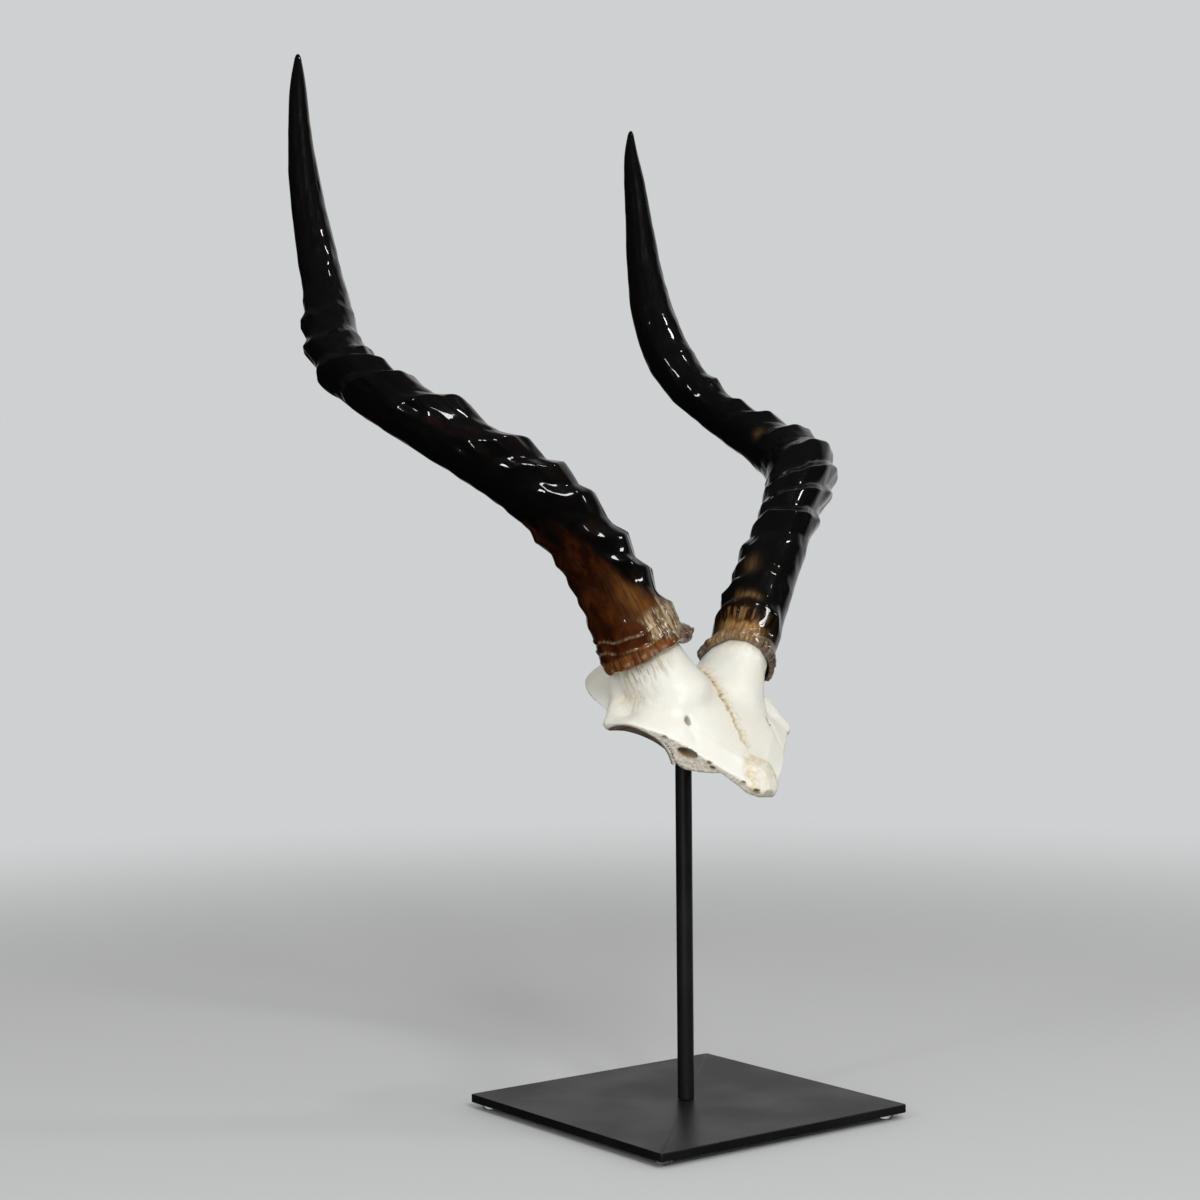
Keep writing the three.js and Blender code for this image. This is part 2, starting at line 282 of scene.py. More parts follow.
# Angles round a horn, in degrees: 0 is away from the midline, 90 back, 180 towards the
# midline and 270 front. "faces" is the angle that faces the camera; "front" and "back" are the
# radius on that side and on the other, in rows of (distance from the rim, radius). Each ring is
# its crest line, as points of (angle, distance from the rim, height over the valleys). "rim" is
# how far the torn rim stands past distance 0, in rows of (angle, distance).
RIGHT_HORN = {
    "side": -1,
    "faces": 217,
    "front": [(-8, 21), (0, 20.8), (12, 19.6), (23, 17.2), (43, 15.6), (60, 15.7), (82, 15.9),
              (100, 14.2), (122, 12.9), (156, 12.2), (172, 12.0), (193, 10.7), (218, 10.2),
              (235, 10.2), (255, 11.2), (275, 11.5), (290, 11.1), (313, 9.4), (340, 6.4),
              (364, 4.2), (388, 2.8), (401, 1.2)],
    "back": [(-8, 20.8), (0, 21), (8, 20.4), (16, 19.0), (29, 17.5), (43, 16.8), (54, 15.4),
             (69, 14.4), (85, 14.0), (120, 14.2), (157, 13.6), (175, 12.5), (200, 13.3),
             (214, 14.2), (235, 14.6), (256, 12.4), (274, 9.8), (294, 8.9), (316, 8.2),
             (340, 8.2), (364, 6.9), (388, 4.2), (401, 1.2)],
    "rings": [
        [(127, 20, 0.5), (180, 18, 2.0), (217, 15.5, 3.2), (262, 20, 0.5), (300, 24, 0)],
        [(40, 22, 1.8), (90, 23, 1.2), (127, 23, 0.3), (310, 21, 0.4), (345, 21.5, 1.5)],
        [(127, 40, 0.8), (180, 34, 2.6), (217, 33.5, 4.0), (255, 39, 2.8), (285, 46, 1.7),
         (300, 50, 0.9), (325, 52, 0.1)],
        [(40, 34.2, 1.5), (90, 35, 1.0), (127, 35, 0.2), (310, 33, 0.3), (345, 33.5, 1.2)],
        [(40, 46.2, 1.4), (90, 47, 1.0), (127, 47, 0.2), (310, 45, 0.3), (345, 45.5, 1.1)],
        [(127, 58, 0.8), (180, 51, 2.6), (217, 51, 4.2), (276, 56, 2.4), (291, 59, 1.7),
         (303, 65, 1.0), (325, 68, 0.1)],
        [(40, 59, 1.7), (90, 60, 1.2), (127, 60, 0.2), (310, 58, 0.3), (345, 58.5, 1.2)],
        [(127, 78, 0.8), (180, 72, 2.4), (217, 72, 3.6), (276, 79, 2.2), (291, 82, 1.7),
         (306, 89, 1.0), (325, 92, 0.1)],
        [(40, 75.5, 2.7), (90, 77, 1.8), (127, 77, 0.3), (315, 73, 0.3), (345, 74.5, 1.5)],
        [(127, 98, 0.8), (180, 90, 3.0), (217, 89, 4.7), (273, 95, 3.2), (294, 102, 2.3),
         (309, 107, 1.3), (330, 110, 0.1)],
        [(40, 96, 0.8), (90, 97, 0.8), (127, 97, 0.1), (320, 95, 0)],
        [(127, 118, 0.8), (180, 110, 3.0), (217, 108, 4.6), (243, 110, 4.2), (282, 117, 3.2),
         (303, 122, 2.8), (318, 128, 1.8), (345, 132, 0.2)],
        [(40, 140, 0.1), (127, 148, 0.5), (180, 140, 3.2), (217, 137, 5.0), (252, 142, 4.6),
         (300, 153, 3.5), (339, 160, 3.2), (354, 162, 2.8), (5, 158, 1.9), (17, 151, 0.8)],
        [(127, 170, 0.4), (180, 164, 0.8), (217, 162, 1.4), (260, 166, 1.0), (310, 170, 0.1)],
        [(39, 191, 1.8), (52, 185, 0.8), (127, 180, 0.5), (217, 172, 2.2), (279, 174, 3.4),
         (315, 182, 3.0), (354, 189, 3.2), (12, 192, 3.0)],
        [(27, 217, 3.2), (70, 216, 2.0), (127, 206, 0.7), (180, 192, 1.2), (217, 190, 2.2),
         (270, 194, 3.6), (306, 201, 2.8), (342, 209, 2.8)],
        [(80, 214, 0.2), (127, 212, 0.5), (200, 210, 1.5), (261, 212, 2.8), (306, 208, 1.3),
         (324, 209, 0.5), (350, 210, 0.1)],
        [(39, 243, 3.6), (80, 241, 2.4), (127, 236, 1.0), (200, 231, 0.8), (264, 232, 0.9),
         (312, 227, 0.9), (339, 229, 1.5), (9, 236, 2.8)],
        [(21, 257, 2.8), (50, 257, 2.4), (127, 253, 0.9), (220, 254, 0.5), (294, 254, 0.8),
         (333, 250, 1.1), (0, 255, 2.0)],
        [(30, 271, 0.8), (120, 270, 0.3), (220, 270, 0.1), (320, 268, 0.3)],
    ],
    "rim": [(37, -1.8), (90, -1.5), (127, -0.5), (180, -1), (217, -1.5), (240, 1.6),
            (262, 3.6), (307, 3.2), (345, 0.8)],
}
LEFT_HORN = {
    "side": 1,
    "faces": 323,
    "front": [(-8, 17.2), (0, 16.6), (16, 16.0), (37, 15.2), (67, 14.9), (97, 14.8), (121, 16.6),
              (142, 18.0), (158, 15.2), (178, 12.4), (202, 10.2), (223, 11.0), (250, 13.2),
              (271, 13.2), (283, 12.7), (301, 11.4), (325, 9.4), (349, 7.6), (373, 5.2),
              (388, 2.8), (401, 1.2)],
    "back": [(-8, 16.2), (0, 16.9), (9, 15.3), (22, 15.2), (37, 14.4), (50, 15.3), (70, 14.4),
             (91, 14.4), (112, 15.0), (154, 15.4), (172, 14.5), (200, 12.4), (225, 10.8),
             (250, 11.6), (283, 11.9), (304, 10.8), (325, 9.0), (349, 7.1), (373, 5.9),
             (388, 4.4), (401, 1.2)],
    "rings": [
        [(20, 13, 1.0), (60, 14, 2.0), (143, 14, 2.6), (152, 18, 2.7), (180, 20, 2.8),
         (228, 21, 2.8), (249, 21, 2.5), (267, 19.5, 2.0), (279, 14, 1.2), (310, 12, 0.4)],
        [(30, 34, 0.8), (90, 30, 2.4), (143, 28, 3.5), (168, 33.5, 3.3), (204, 35, 2.9),
         (219, 38, 2.5), (234, 39, 2.0), (258, 39, 1.3), (285, 36, 0.5), (320, 36, 0.2)],
        [(40, 46, 0.6), (90, 44, 1.6), (143, 44, 2.2), (180, 45, 1.8), (205, 47, 0.8),
         (230, 50, 0.2), (320, 48, 0.1)],
        [(30, 62, 0.6), (90, 60, 1.6), (143, 59, 2.4), (186, 54, 2.0), (210, 56, 1.0),
         (240, 58, 0.4), (290, 62, 0.5), (323, 64, 0.6)],
        [(10, 92, 1.6), (60, 88, 1.0), (120, 80, 1.2), (165, 74, 1.5), (204, 75, 2.6),
         (225, 75, 3.0), (252, 76, 3.1), (276, 79, 3.1), (305, 86, 3.0), (328, 91, 2.9)],
        [(0, 119, 2.6), (50, 112, 1.6), (110, 98, 1.2), (160, 89, 1.2), (201, 85, 2.0),
         (219, 88, 2.6), (243, 90, 2.9), (264, 95, 3.1), (300, 106, 3.4), (328, 116, 3.6)],
        [(350, 136, 3.8), (30, 131, 2.2), (90, 120, 1.5), (143, 108, 1.2), (186, 103, 2.0),
         (231, 103, 2.6), (246, 106, 3.0), (261, 112, 3.5), (279, 117, 3.9), (324, 134, 4.8)],
        [(10, 149, 2.6), (60, 140, 1.6), (120, 127, 1.2), (160, 121, 1.2), (198, 119, 1.7),
         (213, 126, 2.3), (228, 130, 2.7), (249, 133, 3.2), (273, 137, 3.8), (306, 143, 4.6),
         (335, 149, 4.0)],
        [(0, 170, 2.6), (60, 174, 1.2), (120, 175, 0.6), (160, 172, 0.6), (198, 168, 1.0),
         (219, 163, 1.5), (246, 159, 2.6), (283, 158, 3.8), (323, 166, 4.2)],
        [(0, 190, 2.2), (60, 198, 1.0), (120, 204, 0.5), (186, 203, 0.7), (213, 198, 1.1),
         (240, 193, 2.0), (273, 186, 3.6), (323, 187, 3.8)],
        [(0, 213, 1.4), (60, 219, 0.6), (120, 220, 0.3), (198, 213, 0.6), (240, 212, 1.4),
         (265, 208, 2.4), (323, 210, 2.5)],
        [(0, 238, 1.4), (60, 242, 0.4), (150, 243, 0.5), (240, 236, 1.0), (280, 232, 2.0),
         (323, 235, 2.7)],
        [(0, 262, 0.4), (90, 262, 0.2), (150, 262, 0.4), (240, 258, 0.6), (323, 260, 0.8)],
    ],
    "rim": [(10, -4), (53, -3), (98, -5), (143, -6.6), (170, -3), (200, 1.5), (233, 3),
            (262, 1.2), (290, -3), (323, -6.6)],
}
RING_RISE = 13.0
RING_FALL = 8.0
HORN_SIDES = 150
FINE_STEP = 0.62
PLAIN_STEP = 1.3
PLAIN_FROM = 288
SECTION_LONG = 0.1
SECTION_ROUND_AT = 0.6
RIM_SPREAD = 26.0
UNROLLED_R = 17.0
SOCKET_TOP = 64.0
CORE_GAP = 0.8
LIP_LEAST = 1.6
WALL_LEAST = 1.3
TIP_ROUND = 2.2
TIP_SMOOTH = 90.0
TIP_ROWS = np.array([0.9, 0.5, 0.2])
LIP_STEPS = 8
LIP_DROOP = 0.7
SOCKET_ROWS = 26
CORE_END = 61.5
CREST_UNIT = 3.5
# On the right horn: the angle of its front knob, and the ridges by distance and height
KNOB_AT = 216
BASE_RIDGES = ((14.0, 0.7), (8.2, 0.8), (2.2, 0.4))
# On the left horn: the middle of the golden front of its collar
FRONT_AT = 208

# Bone core: distance along the centreline from the rim, and diameter; the left is thinner
CORE_D = [(-34, 47), (-20, 41.5), (-14, 37.6), (-8, 34.6), (-3, 32.8), (2, 29.8), (8, 27.4),
          (14, 26), (32, 23), (50, 17), (58, 11), (62, 3)]
CORE_SCALE = {-1: 1.0, 1: 0.93}
core_curve = hermite(CORE_D)


def core_radius(along, side):
    """Radius of the bone core at a distance from the rim."""
    return core_curve(along) / 2 * CORE_SCALE[side]


class Axis:
    """A smooth centreline: points and cross directions at any distance along it."""

    def __init__(self, side):
        knots = HORN_AXIS * (side, 1, 1)
        steps = np.linalg.norm(np.diff(knots, axis=0), axis=1)
        places = np.concatenate([[0], np.cumsum(steps)])
        dense = np.linspace(0, places[-1], 1600)
        line = np.stack([self.spline(places, knots[:, k], dense) for k in range(3)], -1)
        lengths = np.linalg.norm(np.diff(line, axis=0), axis=1)
        self.side = side
        self.at = np.concatenate([[0], np.cumsum(lengths)])
        self.line = line
        self.length = self.at[-1]
        self.heading = np.gradient(line, self.at, axis=0)

    @staticmethod
    def spline(xs, ys, where):
        """Natural cubic spline."""
        n = len(xs)
        gap = np.diff(xs)
        matrix = np.eye(n)
        right = np.zeros(n)
        for i in range(1, n - 1):
            matrix[i, i - 1:i + 2] = gap[i - 1], 2 * (gap[i - 1] + gap[i]), gap[i]
            right[i] = 6 * ((ys[i + 1] - ys[i]) / gap[i] - (ys[i] - ys[i - 1]) / gap[i - 1])
        bend = np.linalg.solve(matrix, right)
        i = np.clip(np.searchsorted(xs, where) - 1, 0, n - 2)
        a, b = xs[i + 1] - where, where - xs[i]
        g = gap[i]
        return ((bend[i] * a ** 3 + bend[i + 1] * b ** 3) / (6 * g)
                + (ys[i] / g - bend[i] * g / 6) * a + (ys[i + 1] / g - bend[i + 1] * g / 6) * b)

    def shell(self, distance, radius, angle):
        """Points at a radius and an angle round the centreline."""
        point, outward, backward = self.frame(distance)
        return (point + outward * (radius * np.cos(angle))[..., None]
                + backward * (radius * np.sin(angle))[..., None])

    def frame(self, distance):
        """Point, outward and backward directions; distances past the ends go on straight."""
        inside = np.clip(distance, 0, self.length)
        heading = np.stack([np.interp(inside, self.at, self.heading[:, k]) for k in range(3)], -1)
        heading /= np.linalg.norm(heading, axis=-1, keepdims=True)
        point = np.stack([np.interp(inside, self.at, self.line[:, k]) for k in range(3)], -1)
        point = point + heading * (distance - inside)[..., None]
        across = np.array([1.0, 0, 0]) - heading * heading[..., :1]
        across /= np.linalg.norm(across, axis=-1, keepdims=True)
        back = np.cross(heading, across)
        return point, across * self.side, back


def section_shape(angle, distance, length):
    """How much longer than its mean a section's radius is at an angle."""
    stretch = SECTION_LONG * np.clip(1 - np.maximum(distance, 0) / length / SECTION_ROUND_AT, 0, 1)
    return 1 / np.sqrt((np.cos(angle) / (1 - stretch)) ** 2
                       + (np.sin(angle) / (1 + stretch)) ** 2)


def round_curve(rows, blur=7):
    """Like round_table, as a function of radians with its corners rounded off."""
    degrees = np.arange(360)
    table = round_table(sorted(rows), np.radians(degrees))
    weights = np.hanning(2 * blur + 1)
    weights /= weights.sum()
    wrapped = np.concatenate([table[-blur:], table, table[:blur]])
    smooth = np.convolve(wrapped, weights, mode="valid")

    def curve(angle):
        return np.interp(whole_degrees(angle), degrees, smooth, period=360)

    return curve


def ring_height(horn, distance, angle, random):
    """Height of the ring ridges over the valleys: a long rise, then a short fall."""
    total = np.zeros_like(distance)
    width = np.interp(distance, [0, 50, 100, 150, 210, 260], [0.8, 0.88, 1, 1.15, 0.95, 0.8])
    for rows in horn["rings"]:
        phase = random.uniform(0, 2 * np.pi, 4)
        crest = round_curve([row[:2] for row in rows])(angle)
        high = round_curve([(row[0], row[2]) for row in rows])(angle)
        crest = crest + 0.5 * np.sin(5 * angle + phase[0]) + 0.35 * np.sin(11 * angle + phase[1])
        high = high * (1 + 0.08 * np.sin(7 * angle + phase[2]) + 0.07 * np.sin(13 * angle + phase[3]))
        gap = (distance - crest) / width
        rise = np.clip(1 + gap / RING_RISE, 0, 1) ** 1.1
        fall = np.clip(1 - gap / RING_FALL, 0, 1) ** 1.25
        total = np.maximum(total, high * np.where(gap < 0, rise, fall))
    return total


def unrolled(distance, angle):
    """A place on the horn as if it were a straight tube, so that patterns have no seam."""
    return np.stack([UNROLLED_R * np.cos(angle), UNROLLED_R * np.sin(angle), distance], -1)


def soften(values):
    """Averages each row of points with the rows before and after it."""
    inner = (values[:-2] + 2 * values[1:-1] + values[2:]) / 4
    return np.concatenate([values[:1], inner, values[-1:]])


def base_wave(angle):
    """How the thin ridges and lines round the right horn's base waver."""
    return 0.7 * np.sin(3 * angle + 0.4) + 0.4 * np.sin(8 * angle)


def right_base_lumps(distance, angle, place):
    """Rim of the right horn: a rolled knob in front and two thin ridges on the outer side."""
    degrees = whole_degrees(angle)
    knob = 4.4 * bell(degrees, KNOB_AT, 27, 4) * bell(distance, 2.2, 3.3)
    curls = 1 - np.abs(noise(place, (2.6, 2.6, 1.6), 21)) * 2.2
    knob *= 1 + 0.34 * curls + 0.2 * noise(place, (1.5, 1.5, 1.5), 27)
    outer = smoothstep(250, 275, degrees) + (1 - smoothstep(70, 110, degrees)) * (degrees < 180)
    ridges = 0.0
    for ridge_at, high in BASE_RIDGES:
        ridges = ridges + high * bell(distance - base_wave(angle), ridge_at, 0.7)
    beige = beige_mask(distance, angle, place)
    rough = beige * (0.5 * noise(place, (1.5, 1.5, 9), 22) + 0.25 * noise(place, (3, 3, 3), 23))
    return knob + outer * ridges + rough


def left_base_lumps(distance, angle, place):
    """Rim of the left horn: a wrinkled rolled collar that stands off the core."""
    degrees = whole_degrees(angle)
    inner = bell(degrees, 150, 45)
    from_rim = distance - round_table(LEFT_HORN["rim"], angle)
    collar = (1.5 + 1.6 * inner) * bell(from_rim, 2.2, 3.4)
    near = 1 - smoothstep(4, 9, from_rim)
    wrinkles = 1 - 2.2 * np.abs(noise(place, (3.6, 3.6, 1.7), 33))
    rough = near * (0.4 * noise(place, (3, 3, 2), 31) + 0.55 * wrinkles
                    + 0.2 * noise(place, (1.3, 1.3, 1.3), 32))
    return collar + rough


def beige_mask(distance, angle, place):
    """Fibrous pale patch on the right horn's front, just above the rim."""
    degrees = whole_degrees(angle)
    wander = noise(place, (3, 3, 4), 24)
    low = round_table([(200, 8), (217, 7), (262, 5), (307, 11)], angle) + 1.5 * wander
    high = round_table([(200, 15), (217, 18), (262, 22), (300, 20)], angle) + 3 * wander
    sides = smoothstep(198, 212, degrees) * (1 - smoothstep(292 + 6 * wander, 306 + 6 * wander, degrees))
    return sides * smoothstep(low - 1, low + 1, distance) * (1 - smoothstep(high - 3, high + 2, distance))


def horn_grid(horn, length):
    """Distance from the rim and angle of each outside point; the first rows follow the rim."""
    fine = np.arange(0, PLAIN_FROM, FINE_STEP)
    plain = np.arange(PLAIN_FROM, length - 1.0, PLAIN_STEP)
    rows = np.concatenate([fine, plain, length - TIP_ROWS])
    angles = np.linspace(0, 2 * np.pi, HORN_SIDES, endpoint=False) * horn["side"]
    row, angle = np.meshgrid(rows, angles, indexing="ij")
    rim = round_table(horn["rim"], angle) + 0.5 * np.sin(4 * angle + 1) + 0.35 * np.sin(9 * angle)
    return row + rim * (1 - smoothstep(0, RIM_SPREAD, row)), angle


def outer_radius(horn, lumps, distance, angle, length):
    """Outside radius: an off-centre section, rings, unevenness and lumps; also the rings alone."""
    random = np.random.default_rng(SEED + horn["side"])
    front = hermite(horn["front"])(distance)
    rear = hermite(horn["back"])(distance)
    facing = np.radians(horn["faces"])
    base = (front + rear) / 2 + (front - rear) / 2 * np.cos(angle - facing)
    base = base * section_shape(angle, distance, length)
    ridges = soften(ring_height(horn, distance, angle, random))
    place = unrolled(distance, angle).reshape(-1, 3)
    uneven = (0.26 * noise(place, (8, 8, 10), 1) + 0.19 * noise(place, (3.6, 3.6, 5), 2)
              + 0.06 * noise(place, (1.6, 1.6, 9), 3)).reshape(distance.shape)
    uneven *= np.clip((length - distance) / TIP_SMOOTH, 0.12, 1)
    extra = lumps(distance.reshape(-1), angle.reshape(-1), place).reshape(distance.shape)
    tip = np.clip((length - distance) / TIP_ROUND, 0, 1)
    narrowing = np.sqrt(1 - (1 - tip) ** 2) * 0.999 + 0.001
    return (base + ridges + uneven + extra) * narrowing, ridges


def mouth_gap(side, angles):
    """How many core gaps wide the mouth is; the left sheath stands off towards the midline."""
    if side < 0:
        return np.ones(HORN_SIDES)
    return 1 + 1.2 * bell(whole_degrees(angles), 150, 50)


def inside_rows(axis, mouth, radius, angles):
    """Socket wall from its floor to the mouth, and the half-round lip that joins the outside."""
    gap = mouth_gap(axis.side, angles)
    inner_r = core_radius(mouth + 2, axis.side) * section_shape(angles, mouth, axis.length)
    inner_r = np.minimum(inner_r + CORE_GAP * gap, radius[0] - LIP_LEAST)
    middle_r = (radius[0] + inner_r) / 2
    half = (radius[0] - inner_r) / 2
    lip = [axis.shell(mouth - LIP_DROOP * half * math.sin(t), middle_r + half * math.cos(t), angles)
           for t in np.linspace(0, math.pi, LIP_STEPS)[1:-1]]
    wall = []
    for level in np.linspace(0, 1, SOCKET_ROWS):
        at = mouth + (SOCKET_TOP - mouth) * level
        r = core_radius(np.minimum(at, CORE_END), axis.side) * section_shape(angles, at, axis.length)
        r = r + CORE_GAP * (1 + (gap - 1) * max(0, 1 - level * 6))
        if level == 0:
            r = inner_r
        r = np.minimum(r, radius[int(level * SOCKET_TOP / FINE_STEP)] - WALL_LEAST)
        wall.append(axis.shell(at, r, angles))
    return wall[::-1], lip[::-1]


def sheath_faces(count):
    """Quads along the sheath, and a fan at each end about the last two points."""
    faces = grid_faces(count, HORN_SIDES)
    last = (count - 1) * HORN_SIDES
    top_id = count * HORN_SIDES
    for j in range(HORN_SIDES):
        k = (j + 1) % HORN_SIDES
        faces.append([last + j, last + k, top_id])
        faces.append([k, j, top_id + 1])
    return faces


def make_horn(name, horn, lumps):
    """Closed sheath: outside from rim to tip, rounded lip, and the socket for the bone core."""
    axis = Axis(horn["side"])
    distance, angle = horn_grid(horn, axis.length)
    angles = angle[0]
    radius, ridges = outer_radius(horn, lumps, distance, angle, axis.length)
    wall, lip = inside_rows(axis, distance[0], radius, angles)
    stack = np.concatenate([wall, lip, axis.shell(distance, radius, angle)])
    ends = [axis.length, SOCKET_TOP]
    points = np.concatenate([stack.reshape(-1, 3), axis.frame(np.array(ends))[0]])
    # The angles run the other way on the mirrored side, so the same faces point outwards there
    obj = new_object(name, head_to_stand(points), sheath_faces(len(stack)))

    inner_count = len(wall) + len(lip)
    along = np.concatenate([np.tile(distance[0], inner_count), distance.ravel(), ends])
    around = np.concatenate([np.tile(angles, len(stack)), [0, 0]])
    hidden = np.zeros(len(points))
    hidden[:len(wall) * HORN_SIDES] = 1
    hidden[-1] = 1
    crest = np.concatenate([np.zeros(inner_count * HORN_SIDES), ridges.ravel(), [0, 0]])
    grain = unrolled(along, around)
    set_vectors(obj, "grain", grain)
    thin = np.clip(np.interp(along, [-10, 250, 330, axis.length], [1, 0.8, 0.5, 0.05]), 0, 1)
    set_values(obj, ridge=crest / CREST_UNIT, hidden=hidden, thin=thin)
    return obj, along, around, grain


# ---- materials ----


class Nodes:
    """A short way to write the node tree of a material, or of the world if one is given."""

    def __init__(self, name, world=None):
        self.material = world or bpy.data.materials.new(name)
        self.material.use_nodes = True
        self.tree = self.material.node_tree
        self.shader = self.tree.nodes.get("Principled BSDF")

    def make(self, kind, inputs=(), **settings):
        """A node with its settings, and its inputs as values or links."""
        node = self.tree.nodes.new(kind)
        for key, value in settings.items():
            setattr(node, key, value)
        for key, value in dict(inputs).items():
            self.put(node.inputs[key], value)
        return node

    def put(self, socket, value):
        if isinstance(value, bpy.types.NodeSocket):
            self.tree.links.new(value, socket)
        else:
            socket.default_value = value

    def value(self, name):
        """A point attribute of one number; it reads 0 where the mesh has none."""
        return self.make("ShaderNodeAttribute", attribute_name=name).outputs["Fac"]

    def vector(self, name):
        return self.make("ShaderNodeAttribute", attribute_name=name).outputs["Vector"]

    def stretched(self, vector, scale):
        node = self.make("ShaderNodeVectorMath", {0: vector, 1: scale}, operation="MULTIPLY")
        return node.outputs["Vector"]

    def noise(self, vector, scale, detail=3.0, rough=0.5, twist=0.0):
        node = self.make("ShaderNodeTexNoise", {
            "Vector": vector, "Scale": scale, "Detail": detail, "Roughness": rough,
            "Distortion": twist})
        return node.outputs["Fac"]

    def cells(self, vector, scale):
        node = self.make("ShaderNodeTexVoronoi", {"Vector": vector, "Scale": scale})
        return node.outputs["Distance"]

    def math(self, operation, a, b=0.0, clamp=False):
        node = self.make("ShaderNodeMath", {0: a, 1: b}, operation=operation, use_clamp=clamp)
        return node.outputs[0]

    def times(self, a, b):
        return self.math("MULTIPLY", a, b)

    def band(self, value, low, high, out_low=0.0, out_high=1.0):
        """Smoothstep from low to high, as a node."""
        node = self.make("ShaderNodeMapRange", {
            "Value": value, "From Min": low, "From Max": high, "To Min": out_low,
            "To Max": out_high}, interpolation_type="SMOOTHSTEP")
        return node.outputs["Result"]

    def mix(self, share, a, b):
        node = self.make("ShaderNodeMix", data_type="RGBA")
        self.put(node.inputs["Factor"], share)
        self.put(node.inputs["A"], a)
        self.put(node.inputs["B"], b)
        return node.outputs["Result"]

    def background(self, colour, strength):
        node = self.make("ShaderNodeBackground", {"Color": colour, "Strength": strength})
        return node.outputs["Background"]

    def bump(self, height, distance, strength=1.0, normal=None):
        inputs = {"Height": height, "Distance": distance, "Strength": strength}
        if normal is not None:
            inputs["Normal"] = normal
        return self.make("ShaderNodeBump", inputs).outputs["Normal"]

    def set(self, **sockets):
        for key, value in sockets.items():
            self.put(self.shader.inputs[key.replace("_", " ").title().replace("Ior", "IOR")], value)


def rgb(r, g, b):
    """An opaque colour."""
    return (r, g, b, 1.0)


def amber_tone(n, fibre, clouds):
    """Amber-brown horn: dark and light clouds, fibres, a painted patch of light and darker ring crests.
    """
    tone = n.mix(n.band(clouds, 0.36, 0.74), rgb(0.009, 0.0014, 0.0005), rgb(0.080, 0.019, 0.0030))
    tone = n.mix(n.times(n.band(fibre, 0.35, 0.7), 0.35), tone, rgb(0.026, 0.0060, 0.0016))
    # Painted light: one patch of the amber is painted brighter, as if light shone through the horn there
    painted_glow = n.times(n.value("lit"), n.band(fibre, 0.3, 0.65, 0.35, 0.9))
    tone = n.mix(painted_glow, tone, rgb(0.165, 0.066, 0.017))
    crest = n.band(n.value("ridge"), 0.12, 0.45, 0.0, 0.6)
    return n.mix(crest, tone, rgb(0.016, 0.0045, 0.0015))


def horn_material():
    """Lacquered keratin: black, amber and raw horn, mixed by the painted masks."""
    n = Nodes("horn_lacquer")
    grain = n.vector("grain")
    long_fibres = n.stretched(grain, (1.0, 1.0, 0.09))
    short_fibres = n.stretched(grain, (1.0, 1.0, 0.25))
    fibre = n.noise(long_fibres, 1.1, 4.0, 0.6)
    flecks = n.noise(long_fibres, 2.3, 2.0, 0.5)
    clouds = n.noise(n.stretched(grain, (1.0, 1.0, 0.6)), 0.11, 4.0, 0.6, 0.2)
    # Black keratin with faint brown streaks that run lengthwise
    streak = n.times(n.band(flecks, 0.60, 0.72), n.band(clouds, 0.46, 0.66))
    black = n.mix(n.times(streak, 0.4), rgb(0.0016, 0.0013, 0.0012),
                  rgb(0.018, 0.008, 0.0035))
    amber = amber_tone(n, fibre, clouds)
    rust = n.mix(n.band(fibre, 0.3, 0.7), rgb(0.060, 0.019, 0.006), rgb(0.20, 0.068, 0.018))
    tan = n.mix(n.band(fibre, 0.3, 0.7), rgb(0.15, 0.068, 0.02), rgb(0.42, 0.25, 0.09))
    crust_noise = n.noise(short_fibres, 0.9, 4.0, 0.65)
    strands = n.noise(long_fibres, 0.75, 4.0, 0.6)
    crust = n.mix(n.band(strands, 0.36, 0.62), rgb(0.085, 0.045, 0.022), rgb(0.40, 0.29, 0.165))
    crust = n.mix(n.band(n.noise(short_fibres, 1.3, 3.0), 0.54, 0.70), crust,
                  rgb(0.62, 0.54, 0.39))
    knot = n.mix(n.band(crust_noise, 0.4, 0.6), rgb(0.045, 0.03, 0.022), rgb(0.22, 0.17, 0.135))
    colour = n.mix(n.value("brown"), black, amber)
    colour = n.mix(n.value("rust"), colour, rust)
    colour = n.mix(n.value("tan"), colour, tan)
    colour = n.mix(n.value("crust"), colour, crust)
    colour = n.mix(n.value("knot"), colour, knot)
    colour = n.mix(n.value("hidden"), colour, rgb(0.09, 0.055, 0.03))
    # Fine lengthwise fibres under the lacquer, coarser where the surface is raw
    raw = n.math("ADD", n.value("crust"), n.value("knot"), True)
    fine = n.bump(fibre, n.times(n.value("thin"), 0.00010))
    stringy = n.bump(strands, n.times(raw, 0.0008), 1.0, fine)
    coarse = n.bump(crust_noise, n.times(raw, 0.0006), 1.0, stringy)
    rough = n.band(n.noise(grain, 0.06, 3.0), 0.3, 0.7, 0.26, 0.38)
    rough = n.math("ADD", rough, n.times(raw, 0.2))
    n.set(base_color=colour, roughness=rough, normal=coarse, coat_weight=1.0,
          coat_roughness=0.03, specular_ior_level=0.04)
    return n.material


def bone_relief(n, grain, mottle, pore, streaks):
    """Fine relief of bone: skin, pores, fissures by the horns and open cells where sawn."""
    skin = n.bump(mottle, 0.0005, 0.5)
    fine = n.bump(n.noise(grain, 0.8, 3.0), 0.00012, 0.6, skin)
    porous = n.bump(pore, -0.0006, 0.8, fine)
    lined = n.bump(streaks, n.times(n.value("rim"), -0.0012), 1.0, porous)
    return n.bump(n.cells(grain, 0.55), n.times(n.value("cut"), 0.0009), 1.0, lined)


